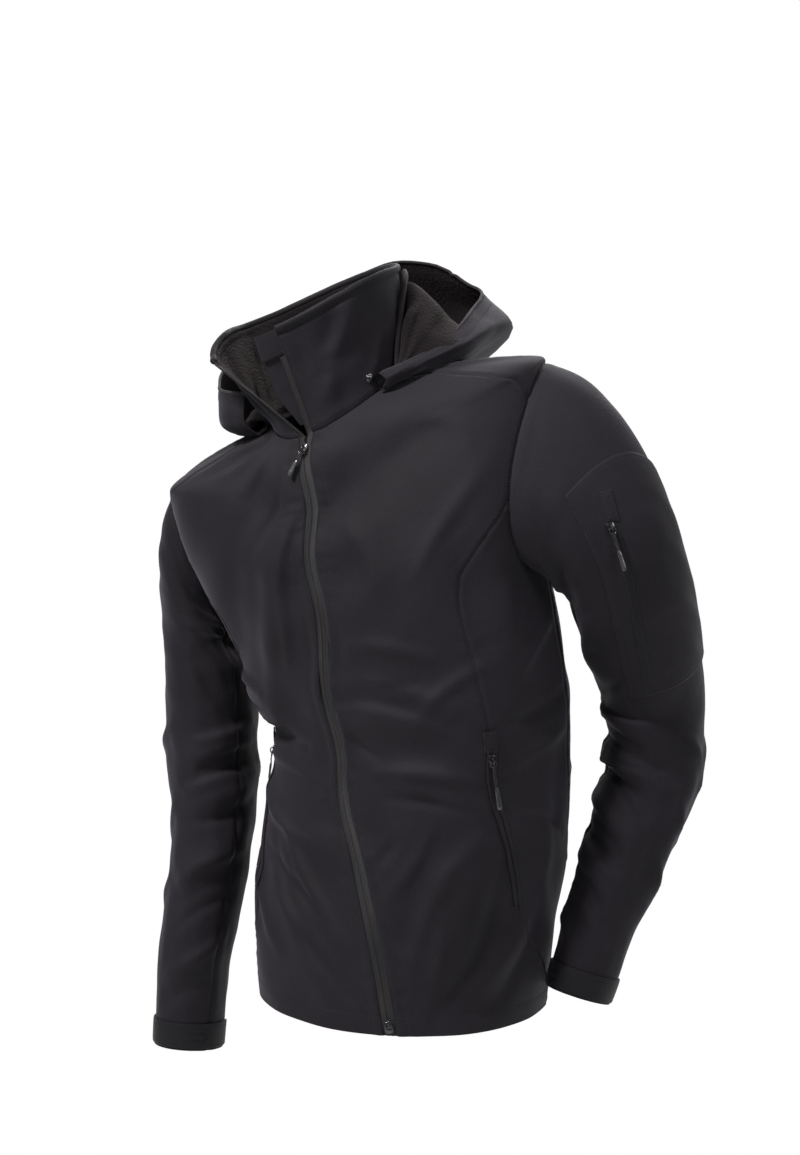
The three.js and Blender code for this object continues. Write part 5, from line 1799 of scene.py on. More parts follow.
    def build_tab(self, sewing: Sewing, flip: bool) -> None:
        """The cuff tab, with a plain embossed oval near its end.

        Args:
            sewing: where the stitches go.
            flip: whether grids run the other way round.
        """
        start, end, top, bottom = self.tab
        form = SLEEVES[self.hand]
        grid = ClothGrid(form, oblong(start, end, top, bottom), 2.4, lift=2.7)
        edge = grid.edge()
        height = -0.7 * np.exp(-edge / 0.9) + groove(edge, self.tab_stitch, 0.35)
        middle = (grid.gaps[Rim.LOW] - grid.gaps[Rim.HIGH]) / 2
        along = (grid.a - 0.36) * form.around * 0.72
        oval = np.hypot(np.maximum(np.abs(along) - 9, 0), middle)
        height = height - 0.9 * np.exp(-(((oval - 4.0) / 0.9) ** 2)) + 0.4 * (oval < 3)
        grid.displace(height)
        sewing.row(grid, Rim.LOW, self.tab_stitch)
        sewing.row(grid, Rim.HIGH, self.tab_stitch)
        cloth(grid, f"cuff_tab_{self.hand.word}", flip=flip, inner=Look.TRIM, thick=1.4,
              outer=Look.TRIM)


# ---- Collar ----


@dataclass
class Collar:
    """The stand collar with its rolled top, chin guard and inner placket."""

    step: float = 3.4
    roll: float = 3.9
    strength: float = 1.7
    seam_rows: tuple[float, float] = (4.5, 9.5)
    top_stitch: float = 7.5
    end_stitch: float = 5.0
    strip_stitch: float = 3.0
    creases: list[Fold] = field(default_factory=lambda: fold_rows([
        (0.150, 0.92, 0.088, 0.52, 4.2, 10, 5), (0.092, 0.56, 0.074, 0.12, 3.0, 10, -3),
        (0.112, 0.80, 0.060, 0.36, -2.6, 9, 4), (0.190, 0.42, 0.160, 0.20, 2.2, 6, 2),
        (0.215, 0.50, 0.180, 0.30, -2.0, 6, 2), (0.240, 0.66, 0.190, 0.34, 2.0, 8, 3),
        (0.045, 0.86, 0.034, 0.30, -1.8, 8, 2), (0.300, 0.80, 0.330, 0.30, 2.2, 10, 3),
        (0.420, 0.70, 0.470, 0.35, 2.4, 10, 4), (0.560, 0.40, 0.610, 0.75, 2.2, 10, 4),
        (0.720, 0.85, 0.760, 0.35, 2.6, 10, -4), (0.850, 0.80, 0.900, 0.30, 3.0, 9, 4),
        (0.905, 0.70, 0.945, 0.25, -2.4, 8, 3), (0.800, 0.45, 0.860, 0.15, 2.0, 8, 3),
    ]))
    placket: tuple[float, float] = (0.12, 0.97)
    guard: tuple[float, float, float] = (0.765, 0.995, 29.0)

    @staticmethod
    def edge(hand: Hand, rise: Array) -> tuple[Array, Array, Array]:
        """One open front edge of the collar.

        Args:
            hand: the side.
            rise: fraction up the collar.

        Returns:
            Points of the edge, the way past it, and the normals.
        """
        side = np.full_like(rise, NECK_ZIP if hand is Hand.LEFT else 1 - NECK_ZIP)
        at = COLLAR.point(side, rise)
        beyond = unit(at - COLLAR.point(side + hand.value * 0.02, rise))
        return at, beyond, COLLAR.normal(side, rise)

    def strip(self, node: str, low: float, high: float, reach: Callable[[Array], Array],
              sink: float, thick: float, roll_round: float) -> ClothGrid:
        """A strip that reaches past the left edge.

        Args:
            node: the node that it stands for.
            low: rise where it starts.
            high: rise where it ends.
            reach: millimetres past the edge at each rise.
            sink: how far it lies inside the collar's outer face.
            thick: its thickness.
            roll_round: height of the bow across it.

        Returns:
            Its grid.
        """
        collar_edge = self.edge

        class StripForm(Form):
            """The strip's own surface."""

            around = 30.0
            length = 112.0

            def point(self, a: Array, b: Array) -> Array:
                """Points past the edge: a runs back to the collar, b runs up."""
                rise = mix(low, high, np.asarray(b, float))
                at, beyond, normal = collar_edge(Hand.LEFT, rise)
                away = mix(reach(rise), 0.0, a) + 0.34
                bow = np.sin(np.pi * np.clip(a, 0, 1)) * roll_round
                return at + beyond * away[..., None] + normal * (sink + bow)[..., None]

        grid = ClothGrid(StripForm(), oblong(0, 1, 0, 1), 2.6)
        edge = grid.edge(Rim.LOW, Rim.HIGH, Rim.NEAR)
        grid.displace(-0.7 * np.exp(-edge / 0.8) + groove(edge, self.strip_stitch, 0.4)
                      + Unevenness(83, 0.35, 15, 45)(grid.gaps[Rim.NEAR], grid.gaps[Rim.LOW]))
        cloth(grid, node, inner=Look.FLEECE, thick=thick, outer=Look.SHELL)
        return grid

    def build(self) -> None:
        """Builds the collar."""
        sewing = Sewing("collar_stitching")
        COLLAR.around, COLLAR.length = 520.0, COLLAR_HEIGHT
        grid = ClothGrid(COLLAR, oblong(NECK_ZIP, 1 - NECK_ZIP, 0, 1), self.step)
        gaps = grid.gaps
        fade = smooth(gaps[Rim.LOW], 2, 14)
        height = (fold_height(self.creases, grid.a, grid.b, COLLAR.around, COLLAR.length) * self.strength
                  + Unevenness(81, 0.6, 20, 60)(grid.a * COLLAR.around, grid.b * COLLAR.length)) * fade
        height = height - 1.5 * np.exp(-(((gaps[Rim.HIGH] - 6.8) / 1.9) ** 2))
        height = height + 0.8 * np.exp(-(((gaps[Rim.LOW] - 7) / 4) ** 2))
        for rim in (Rim.NEAR, Rim.FAR):
            height = height + groove(gaps[rim], self.end_stitch, 0.4)
        grid.displace(height)
        sewing.row(grid, Rim.LOW, *self.seam_rows)
        sewing.row(grid, Rim.HIGH, self.top_stitch)
        for rim in (Rim.NEAR, Rim.FAR):
            sewing.row(grid, rim, self.end_stitch)
        cloth(grid, "collar", thick=2.4)
        trim = Piece("collar_binding")
        top, out = grid.line(Rim.HIGH, 1.2, -1.2)
        trim.tube(top, out, self.roll * 1.05, self.roll * 0.86, Look.TRIM, 14)
        for rim in (Rim.NEAR, Rim.FAR):
            line, out = grid.line(rim, 0.6, -1.1)
            trim.tube(line, out, 1.5, 1.5, Look.TRIM, 10)
        trim.build()

        opens = lambda rise: mix(6.0, 27.0, np.minimum(rise / 0.45, 1))
        self.strip("inner_placket", *self.placket, opens, -2.65, 1.6, 0.8)
        low, high, reach = self.guard
        guard = self.strip("chin_guard", low, high, lambda rise: np.full_like(rise, reach),
                           -0.3, 1.7, 2.4)
        for rim in (Rim.LOW, Rim.HIGH, Rim.NEAR):
            sewing.row(guard, rim, self.strip_stitch)
        sewing.build()


# ---- Hood ----


@dataclass
class Hood:
    """The hood in three panels, its bound brim and the fold of lining beside the collar."""

    front_rolls: dict[Hand, tuple] = field(default_factory=lambda: {
        Hand.LEFT: ((0.345, 0.93, 9), (0.300, 0.84, 6), (0.262, 0.62, 4.5), (0.236, 0.38, 4.5),
                    (0.218, 0.18, 5), (0.200, 0.03, 7)),
        Hand.RIGHT: ((0.690, 0.90, 9), (0.730, 0.78, 6), (0.765, 0.56, 4.5), (0.795, 0.34, 4.5),
                     (0.812, 0.16, 5), (0.825, 0.04, 7)),
    })
    step: float = 4.2
    brim_deep: float = 14.0
    seam_stitch: float = 5.6
    panels: tuple = (("left", 0.155, 0.44), ("centre", 0.44, 0.56), ("right", 0.56, 0.84))
    roll: tuple[float, float] = (4.2, 3.4)
    binding: float = 1.9
    creases: list[Fold] = field(default_factory=lambda: fold_rows([
        (0.210, 0.20, 0.300, 0.62, 3.4, 9, 6), (0.250, 0.15, 0.350, 0.50, -3.0, 8, -5),
        (0.300, 0.30, 0.390, 0.85, 3.2, 9, 6), (0.230, 0.62, 0.330, 0.92, -2.6, 8, 5),
        (0.350, 0.40, 0.450, 0.60, 2.8, 9, 6), (0.430, 0.30, 0.520, 0.46, -2.6, 9, 5),
        (0.480, 0.55, 0.580, 0.70, 3.0, 10, 7), (0.560, 0.35, 0.650, 0.55, 2.8, 9, -6),
        (0.640, 0.60, 0.740, 0.40, -2.8, 9, 5), (0.690, 0.75, 0.790, 0.45, 3.0, 9, 5),
        (0.760, 0.20, 0.810, 0.60, 2.4, 8, 4), (0.180, 0.30, 0.215, 0.80, 2.2, 7, 3),
        (0.400, 0.70, 0.470, 0.90, 2.4, 9, -4), (0.600, 0.78, 0.680, 0.90, -2.4, 9, 4),
    ]))

    def build(self) -> None:
        """Builds the hood."""
        HOOD.around, HOOD.length = 900.0, 250.0
        sewing = Sewing("hood_stitching")
        brim_line, brim_out = [], []
        for name, start, end in self.panels:
            grid = ClothGrid(HOOD, oblong(start, end, 0, 1), self.step)
            gaps = grid.gaps
            height = (fold_height(self.creases, grid.a, grid.b, HOOD.around, HOOD.length)
                      + Unevenness(91, 0.8, 26, 90)(grid.a * HOOD.around, grid.b * HOOD.length))
            # Troughs are shallow, and all is calmer where the hood reaches out furthest.
            reaching = np.exp(-(((grid.b - 0.58) / 0.15) ** 2))
            height = np.where(height < 0, 0.45, 1.0) * height * (1 - 0.5 * reaching)
            height = height * smooth(gaps[Rim.LOW], 0, 10)
            if name != "centre":
                height = height * smooth(gaps[Rim.NEAR if name == "left" else Rim.FAR], 0, 8)
            brim = self.brim_deep
            height = height + groove(gaps[Rim.HIGH], brim, 0.9)
            height = height + 0.5 * (1 - smooth(gaps[Rim.HIGH], brim - 2, brim + 2))
            for rim in (Rim.NEAR, Rim.FAR):
                height = height + seam_dip(gaps[rim], 1.1)
            grid.displace(height)
            sewing.row(grid, Rim.HIGH, brim)
            for rim in (Rim.NEAR, Rim.FAR):
                sewing.row(grid, rim, self.seam_stitch)
            cloth(grid, f"hood_{name}")
            line, out = grid.line(Rim.HIGH, 0.3, -0.7)
            brim_line.append(line)
            brim_out.append(out)
        trim = Piece("hood_binding")
        line = np.concatenate(brim_line)
        keep = np.concatenate([[True], np.linalg.norm(np.diff(line, axis=0), axis=1) > 0.8])
        trim.tube(line[keep], np.concatenate(brim_out)[keep], self.binding, self.binding * 0.9,
                  Look.BINDING, 12)
        for path in self.front_rolls.values():
            trim.tube(*self.front_roll(path), *self.roll, Look.SHELL, 14)
        trim.build()
        self.build_fold()
        sewing.build()

    @staticmethod
    def front_roll(path: Sequence[Sequence[float]]) -> tuple[Array, Array]:
        """Middle line of a rolled hood edge that lies against the collar.

        Args:
            path: side, rise and distance from the collar at some places of it.

        Returns:
            Points of the line, and the collar's normals there.
        """
        rows = np.asarray(path, float)
        at = np.linspace(0, 1, 40)
        side, rise, away = (Curve(np.linspace(0, 1, len(rows)), rows[:, k])(at) for k in range(3))
        out = COLLAR.normal(side, rise)
        return COLLAR.point(side, rise) + out * away[:, None], out

    def build_fold(self) -> None:
        """The fold of fleece that stands up between the collar and the brim."""

        class FoldForm(Form):
            """A hump over the floor of the pouch."""

            around = 900.0
            length = 180.0

            def point(self, a: Array, b: Array) -> Array:
                """Points of the hump: a round the neck, b away from the collar."""
                a, b = np.broadcast_arrays(np.asarray(a, float), np.asarray(b, float))
                floor = HOOD.point(a, mix(0.03, 0.66, np.clip(b, 0, 1)))
                arch = np.abs(np.sin(np.pi * np.clip(b, 0.001, 0.999) ** 0.5)) ** 0.8
                rise = 3.2 + HOOD.rows["fold"](a) * arch
                return floor + NECK_UP * rise[..., None]

        grid = ClothGrid(FoldForm(), oblong(0.185, 0.815, 0, 1), 4.6)
        grid.normals = grid.normals * np.sign((grid.normals @ NECK_UP)[..., None] + 1e-9)
        x, y = grid.a * 900, grid.b * 180
        grid.displace(Unevenness(95, 1.4, 28, 80)(x, y) * smooth(grid.gaps[Rim.LOW], 0, 12))
        piece = Piece("hood_lining_fold")
        piece.shell(grid, Look.FLEECE, Look.FLEECE, 2.0, flip=True)
        thing = piece.build()
        width, length, area = grid.flat_size()


# ---- Zips and pockets ----


class FrontTape(Form):
    """One tape of the main zip: up the front edge, then on along the collar's open edge."""

    around = TAPE_WIDTH
    length = 800.0

    def __init__(self, hand: Hand, end: float) -> None:
        """Sets which side it is on.

        Args:
            hand: the side.
            end: rise on the collar where it ends.
        """
        self.hand = hand
        self.end = end
        self.turn = BODY.length / (BODY.length + COLLAR_HEIGHT * end)

    def point(self, a: Array, b: Array) -> Array:
        """Points of the tape: a towards the wearer's left, b up.

        Args:
            a: fraction across.
            b: fraction along.

        Returns:
            The points.
        """
        a, b = np.broadcast_arrays(np.asarray(a, float), np.asarray(b, float))
        sign = self.hand.value
        free = 1 - a if self.hand is Hand.LEFT else a
        level = np.clip(b / self.turn, 0, 1)
        seam = sign * zip_side(level)
        side = seam - sign * free * TAPE_WIDTH / BODY.span(0.0, level)
        rise = np.clip((b - self.turn) / (1 - self.turn), 0, 1) * self.end
        at, beyond, _ = Collar.edge(self.hand, rise)
        on_collar = at + beyond * (TAPE_WIDTH * free)[..., None]
        past_neck = smooth(b, self.turn - 0.004, self.turn + 0.012)[..., None]
        return mix(BODY.point(side, level), on_collar, past_neck)


@dataclass
class FrontZip:
    """The main zip's two tapes and its free teeth; its slider, pull and box are built with the other
    hardware.
    """

    drop: float = -0.3
    ridge: float = 0.95
    tooth_pitch: float = 1.7
    ends: dict[Hand, float] = field(default_factory=lambda: {Hand.LEFT: 0.75, Hand.RIGHT: 0.97})

    def build(self) -> None:
        """Builds both tapes and the free teeth above the slider."""
        teeth = Piece("front_zip_teeth")
        for hand in Hand:
            form = FrontTape(hand, self.ends[hand])
            grid = ClothGrid(form, oblong(0, 1, 0, 1), 2.2)
            rim = Rim.NEAR if hand is Hand.LEFT else Rim.FAR
            gap = grid.gaps[rim]
            height = self.drop + self.ridge * np.exp(-(((gap - 1.9) / 1.25) ** 2))
            grid.displace(height - 0.35 * np.exp(-gap / 0.35) - 0.3 * smooth(gap, 5.2, 6.6))
            cloth(grid, f"front_zip_{hand.word}", inner=Look.TAPE, thick=1.0,
                  outer=Look.TAPE)
            line, out = grid.line(rim, 0.7, 0.15)
            open_from = int(len(line) * form.turn * 0.985)
            teeth.stitches(line[open_from:], out[open_from:], Look.COIL, self.tooth_pitch,
                           1.1, 1.25, 0.85)
        teeth.build(slot="zip_tape")


class SeamStrip(Form):
    """A strip that runs along the princess seam."""

    length = 240.0

    def __init__(self, hand: Hand, start: float, end: float, half: float) -> None:
        """Sets its place.

        Args:
            hand: the side.
            start: row of the seam where it starts.
            end: row where it ends.
            half: half its width in millimetres.
        """
        self.hand, self.half, self.around = hand, half, 2 * half
        step = float(TRUNK.princess[1, 1])
        self.low, self.high = start * step, end * step

    def place(self, a: Array, b: Array) -> tuple[Array, Array]:
        """Places on the trunk: a towards the wearer's left, b up."""
        level = mix(self.low, self.high, np.asarray(b, float))
        across = (2 * np.asarray(a, float) - 1) * self.half
        side = self.hand.value * PRINCESS(level) + across / BODY.around
        return side, level

    def point(self, a: Array, b: Array) -> Array:
        """Points of the strip, on the trunk."""
        return BODY.point(*self.place(a, b))


@dataclass
class HandPocket:
    """A hand pocket's zip, garage and lips; its slider is built with the pulls."""

    hand: Hand
    trunk: Trunk
    lift: float = 1.4
    zip_half: float = 4.9
    garage_half: float = 7.0
    garage_stitch: float = 2.6

    def lay(self, start: float, end: float, half: float, lift: float) -> ClothGrid:
        """A strip along the seam that follows the trunk's creases.

        Args:
            start: row of the seam where it starts.
            end: row where it ends.
            half: half its width.
            lift: millimetres above the form.

        Returns:
            Its grid.
        """
        form = SeamStrip(self.hand, start, end, half)
        grid = ClothGrid(form, oblong(0, 1, 0, 1), 2.4, lift=lift)
        self.follow(grid)
        return grid

    def follow(self, grid: ClothGrid) -> None:
        """Moves a strip with the cloth that it lies on."""
        own = grid.a, grid.b
        grid.a, grid.b = grid.form.place(grid.a, grid.b)
        relief = self.trunk.relief(grid)
        grid.a, grid.b = own
        grid.base = grid.base + grid.normals * relief[..., None]

    def build(self) -> None:
        """Builds the pocket."""
        word = self.hand.word
        start, end, top = POCKET_ROWS
        zip_grid = self.lay(start, end, self.zip_half, self.lift)
        zip_grid.displace(coil_ridges(zip_grid, 0.75))
        cloth(zip_grid, f"pocket_zip_{word}", inner=Look.TAPE, thick=0.8, outer=Look.TRIM)
        garage = self.lay(end, top, self.garage_half, self.lift + 0.6)
        edge = garage.edge()
        garage.displace(0.5 * smooth(edge, 0, 3) + groove(edge, self.garage_stitch, 0.4))
        cloth(garage, f"pocket_garage_{word}", inner=Look.TRIM, thick=1.1)
        sewing = Sewing(f"pocket_stitching_{word}")
        sewing.all_round(garage, self.garage_stitch)
        lips = Piece(f"pocket_lips_{word}")
        wide = self.lay(start - 0.15, end + 0.1, 7.6, 0.4)
        wide.displace(np.zeros(wide.a.shape))
        taper = np.sin(np.pi * np.linspace(0.03, 0.97, len(wide.a))) ** 0.25
        for rim in (Rim.NEAR, Rim.FAR):
            line, out = wide.line(rim, 4.6, 1.5)
            lips.tube(line, out, 2.5 * taper, 0.9 * taper, Look.SHELL, 12)
            sewing.piece.stitches(*wide.line(rim, 0.2, 1.0))
        line, out = wide.line(Rim.LOW, 2.2, 1.9)
        for shift in (-0.6, 0.0, 0.6):
            sewing.piece.stitches(line + NECK_UP * shift, out, Look.THREAD, 1.6, 1.5)
        lips.build()
        sewing.build()


class ArmLine(Form):
    """A strip down the middle of the sleeve pocket."""

    def __init__(self, ends: Sequence[Sequence[float]], half: float) -> None:
        """Sets its place.

        Args:
            ends: places on the sleeve of its two ends.
            half: half its width in millimetres.
        """
        self.ends = np.asarray(ends, float)
        self.half, self.around, self.length = half, 2 * half, 200.0

    def place(self, a: Array, b: Array) -> tuple[Array, Array]:
        """Places on the sleeve: a round it, b down it."""
        (turn1, along1), (turn2, along2) = self.ends
        along = mix(along1, along2, np.asarray(b, float))
        turn = mix(turn1, turn2, np.asarray(b, float))
        return turn + (2 * np.asarray(a, float) - 1) * self.half / SLEEVES[Hand.LEFT].around, along

    def normal(self, a: Array, b: Array) -> Array:
        """The sleeve's normals along the middle of the strip."""
        _, b = np.broadcast_arrays(a, b)
        turn, along = np.broadcast_arrays(*self.place(np.full_like(b, 0.5, dtype=float), b))
        return SLEEVES[Hand.LEFT].normal(turn, along)

    def point(self, a: Array, b: Array) -> Array:
        """Points of the strip, square to its middle line."""
        a, b = np.broadcast_arrays(np.asarray(a, float), np.asarray(b, float))
        middle = lambda reach: SLEEVES[Hand.LEFT].point(*self.place(np.full_like(reach, 0.5), reach))
        across = unit(np.cross(self.normal(a, b), middle(b + 0.02) - middle(b - 0.02)))
        return middle(b) - across * ((2 * a - 1) * self.half)[..., None]


@dataclass
class SleevePocket:
    """The patch on the left upper arm, with its zip and garage."""

    sleeve: Sleeve
    near_top: float = 0.212
    near_bottom: float = 0.245
    far: float = -0.060
    top_near: float = 0.098
    top_far: float = 0.180
    bottom: float = 0.450
    zip_ends: tuple = ((0.162, 0.190), (0.185, 0.415))
    garage_ends: tuple = ((0.150, 0.148), (0.161, 0.183))
    lift: float = 2.2
    zip_half: float = 4.5
    garage_half: float = 7.0
    patch_stitch: float = 4.5
    garage_stitch: float = 2.4

    def follow(self, grid: ClothGrid) -> None:
        """Moves a strip with the sleeve that it lies on."""
        own = grid.a, grid.b, grid.form
        grid.a, grid.b = np.broadcast_arrays(*grid.form.place(grid.a, grid.b))
        grid.form = SLEEVES[Hand.LEFT]
        relief = self.sleeve.relief(grid)
        grid.a, grid.b, grid.form = own
        grid.base = grid.base + grid.normals * relief[..., None]

    def build(self) -> None:
        """Builds the pocket."""
        corners = np.array([[[self.near_top, self.top_near], [self.far, self.top_far]],
                            [[self.near_bottom, self.bottom], [self.far, self.bottom]]])
        cut = Cut(corners[0], corners[1], corners[:, 0], corners[:, 1])
        sewing = Sewing("sleeve_pocket_stitching")
        patch = ClothGrid(SLEEVES[Hand.LEFT], cut, 3.2, lift=self.lift)
        edge = patch.edge()
        waves = Unevenness(101, 0.45, 20, 60)(patch.gaps[Rim.NEAR], patch.gaps[Rim.LOW])
        patch.displace(self.sleeve.relief(patch) - 1.0 * np.exp(-edge / 1.2)
                       + groove(edge, self.patch_stitch, 0.45) + 0.5 * smooth(edge, 1, 3.5)
                       + waves * smooth(edge, 0, 8))
        sewing.all_round(patch, self.patch_stitch)
        cloth(patch, "sleeve_pocket_panel", flip=True, inner=Look.TRIM, thick=1.1)
        whole = oblong(0, 1, 0, 1)
        strip = ClothGrid(ArmLine(self.zip_ends, self.zip_half), whole, 2.4, lift=self.lift + 1.25)
        self.follow(strip)
        strip.displace(coil_ridges(strip, 0.7))
        for rim in (Rim.NEAR, Rim.FAR):
            sewing.row(strip, rim, 0.8)
        cloth(strip, "sleeve_zip", inner=Look.TAPE, thick=0.8, outer=Look.TRIM)
        garage = ClothGrid(ArmLine(self.garage_ends, self.garage_half), whole, 2.2,
                           lift=self.lift + 1.7)
        self.follow(garage)
        edge = garage.edge()
        garage.displace(0.6 * smooth(edge, 0, 3) + groove(edge, self.garage_stitch, 0.4)
                        - 0.4 * np.exp(-edge / 0.6))
        sewing.all_round(garage, self.garage_stitch)
        cloth(garage, "sleeve_garage", inner=Look.TRIM, thick=1.1)
        sewing.build()


# ---- Hardware ----


@dataclass(frozen=True)
class Seat:
    """Where a zip's slider sits, with the ways across, towards the zip's top and out."""

    origin: Array
    across: Array
    top: Array
    out: Array

    @classmethod
    def on(cls, form: Form, a: float, b: float, rise: float, upwards: float = 1.0) -> "Seat":
        """Places a seat on a form.

        Args:
            form: the form.
            a: place round it.
            b: place along it.
            rise: millimetres above it.
            upwards: 1 where the zip's top is further along the form, -1 where it isn't.

        Returns:
            The seat.
        """
        turn, along = np.array([a]), np.array([b])
        at, out = form.point(turn, along)[0], form.normal(turn, along)[0]
        top = (form.point(turn, along + 0.01)[0] - form.point(turn, along - 0.01)[0]) * upwards
        top = unit(top - out * (top @ out))
        return cls(at + out * rise, np.cross(top, out), top, out)

    def turned(self, swing: float, tilt: float) -> "Seat":
        """The seat turned beside the zip and lifted off the cloth, in degrees."""
        top = turned(self.top, self.out, swing)
        across = turned(self.across, self.out, swing)
        return Seat(self.origin, across, turned(top, across, -tilt), turned(self.out, across, -tilt))

    def put(self, points: Array) -> Array:
        """Moves points from the seat's own frame to the jacket's."""
        points = np.asarray(points, float)
        return self.origin + points @ np.stack([self.across, self.top, self.out])

    def way(self, x: float, y: float, z: float) -> Array:
        """Turns a direction into the jacket's frame."""
        return np.array([x, y, z]) @ np.stack([self.across, self.top, self.out])


class Hardware(Piece):
    """A small hard piece, drawn in the frame of a seat."""

    def __init__(self, name: str, seat: Seat) -> None:
        """Starts an empty piece.

        Args:
            name: the object's name.
            seat: its frame.
        """
        super().__init__(name)
        self.seat = seat

    def plate(self, outline: Sequence[Sequence[float]], low: float, high: float, look: Look,
              edge: float = 0.45) -> None:
        """A flat piece with eased edges.

        Args:
            outline: corners, anticlockwise seen from outside.
            low: height of its underside.
            high: height of its top.
            look: its finish.
            edge: how far its edges are eased.
        """
        corners = np.asarray(outline, float)
        middle = corners.mean(0)
        corners = self.rounded(corners)
        shrink = lambda by: middle + (corners - middle) * (1 - by / np.abs(corners - middle).max())
        layers = [(shrink(edge), low), (shrink(edge * 0.3), low + edge * 0.3), (corners, low + edge),
                  (corners, high - edge), (shrink(edge * 0.3), high - edge * 0.3), (shrink(edge), high)]
        rings = np.stack([np.column_stack([flat, np.full(len(flat), z)]) for flat, z in layers])
        first, sides = self.count, len(corners)
        self.grid(self.seat.put(rings), look, wrap=True)
        last = first + 5 * sides
        self.close_ends(first, last, sides, look)

    @staticmethod
    def rounded(corners: Array, share: float = 0.22) -> Array:
        """Cuts each corner twice, so that an outline is round."""
        for _ in range(2):
            after = np.roll(corners, -1, axis=0)
            pairs = np.stack([mix(corners, after, share), mix(after, corners, share)], 1)
            corners = pairs.reshape(-1, 2)
        return corners

    def rod(self, path: Sequence[Sequence[float]], wide: Array | float, tall: Array | float, look: Look,
            out: Sequence[float] = (0, 0, 1), sides: int = 12, square: float = 1.0) -> None:
        """A rod or a shaped bar along a path.

        Args:
            path: places that it goes through.
            wide: half its width.
            tall: half its height.
            look: its finish.
            out: the way its height points.
            sides: faces round it.
            square: 1 for an oval section, less for a boxy one.
        """
        line = self.seat.put(path)
        way = np.tile(self.seat.way(*out), (len(line), 1))
        self.tube(line, way, wide, tall, look, sides, square)


@dataclass
class ZipPull:
    """A slider with a bridge, an eye, a doubled cord and a smooth tip."""

    prefix: str
    seat: Seat
    cord: float
    tip: float
    swing: float
    tilt: float
    hinge_at: tuple[float, float, float] = (0, -0.8, 3.7)
    loop_at: float = -5.0
    cord_half: float = 0.62
    grips: tuple[float, float, float] = (7.5, 9.6, 11.7)

    def build(self) -> None:
        """Builds the slider on the jacket, and the pull on its own body."""
        self.build_slider()
        hinge = Seat(self.seat.put(self.hinge_at), self.seat.across, self.seat.top, self.seat.out)
        pull = Hardware(f"{self.prefix}_pull_fine", hinge.turned(self.swing, self.tilt))
        neck = -6.0 - self.cord
        self.add_eye_and_cord(pull, neck)
        self.add_tip(pull, neck)
        thing = pull.build(f"{self.prefix}_pull", "pull")
        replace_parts(thing, f"{self.prefix}_pull")

    def build_slider(self) -> None:
        """The slider's plate with its arch."""
        slider = Hardware(f"{self.prefix}_slider_fine", self.seat)
        half = [(2.5, -6), (3.0, -5.2), (4.2, 0), (4.2, 4.6), (3.0, 6)]
        outline = half + [(-x, y) for x, y in reversed(half)]
        slider.plate(outline, 0.0, 2.2, Look.METAL)
        slider.plate([(x * 0.8, y * 0.8) for x, y in outline], 2.0, 2.7, Look.METAL, 0.3)
        angle = np.linspace(0, np.pi, 15)
        arch = np.stack([np.zeros(15), -3.4 * np.cos(angle), 2.0 + 3.8 * np.sin(angle) ** 0.6], -1)
        slider.rod(arch, 0.65, 0.62, Look.METAL, out=(1, 0, 0), square=0.7)
        thing = slider.build(slot="metal")
        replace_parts(thing, f"{self.prefix}_slider")

    def add_eye_and_cord(self, pull: Hardware, neck: float) -> None:
        """The metal eye through the arch, and the cord looped through the eye.

        Args:
            pull: the piece that they go on.
            neck: place along the pull where the cord enters the tip.
        """
        turn = np.linspace(0, 2 * np.pi, 33)
        wide = 3.4 - 1.3 * smooth(-np.sin(turn), 0.1, 1.0)
        boxy = lambda wave: np.sign(wave) * np.abs(wave) ** 0.5
        eye = np.stack([wide * boxy(np.cos(turn)), -2.9 + 2.95 * boxy(np.sin(turn)), np.zeros(33)], -1)
        pull.rod(eye, 0.62, 0.72, Look.METAL)
        half = self.cord_half
        for side in (-1, 1):
            reach = np.linspace(self.loop_at, neck - 1.5, 14)
            apart = half + 0.28 * np.sin(np.pi * np.linspace(0, 1, 14))
            line = np.stack([side * apart, reach, 0.35 * np.sin(reach * 0.5)], -1)
            pull.rod(line, half, half, Look.CORD, sides=8)
        loop = np.linspace(0, np.pi, 9)
        line = np.stack([half * np.cos(loop), self.loop_at + 0.45 * np.sin(loop), 0.1 + 0 * loop], -1)
        pull.rod(line, 0.5, 0.5, Look.CORD, sides=8)

    def add_tip(self, pull: Hardware, neck: float) -> None:
        """The moulded tip, ribbed where it is held.

        Args:
            pull: the piece that it goes on.
            neck: place along the pull where it starts.
        """
        tip = self.tip
        reach = np.concatenate([[0, 0.4, 1.2, 2.6, 4.6], np.linspace(6.5, tip - 3, 14),
                                [tip - 1.4, tip - 0.5, tip]])
        wide = np.interp(reach, [0, 0.4, 1.2, 2.6, 5, tip - 3, tip - 1.4, tip - 0.5, tip],
                         [1.1, 1.5, 1.75, 2.0, 2.5, 2.6, 2.45, 2.0, 1.0])
        grip = np.exp(-(((reach[:, None] - np.array(self.grips)) / 0.55) ** 2)).sum(1) * 0.28
        thick = np.interp(reach, [0, 1.2, 5, tip - 2, tip], [0.95, 1.2, 1.35, 1.25, 0.7])
        line = np.stack([0 * reach, neck - reach, 0 * reach], -1)
        pull.rod(line, wide - grip * 0.5, thick - grip * 0.6, Look.TIP, sides=18, square=0.75)


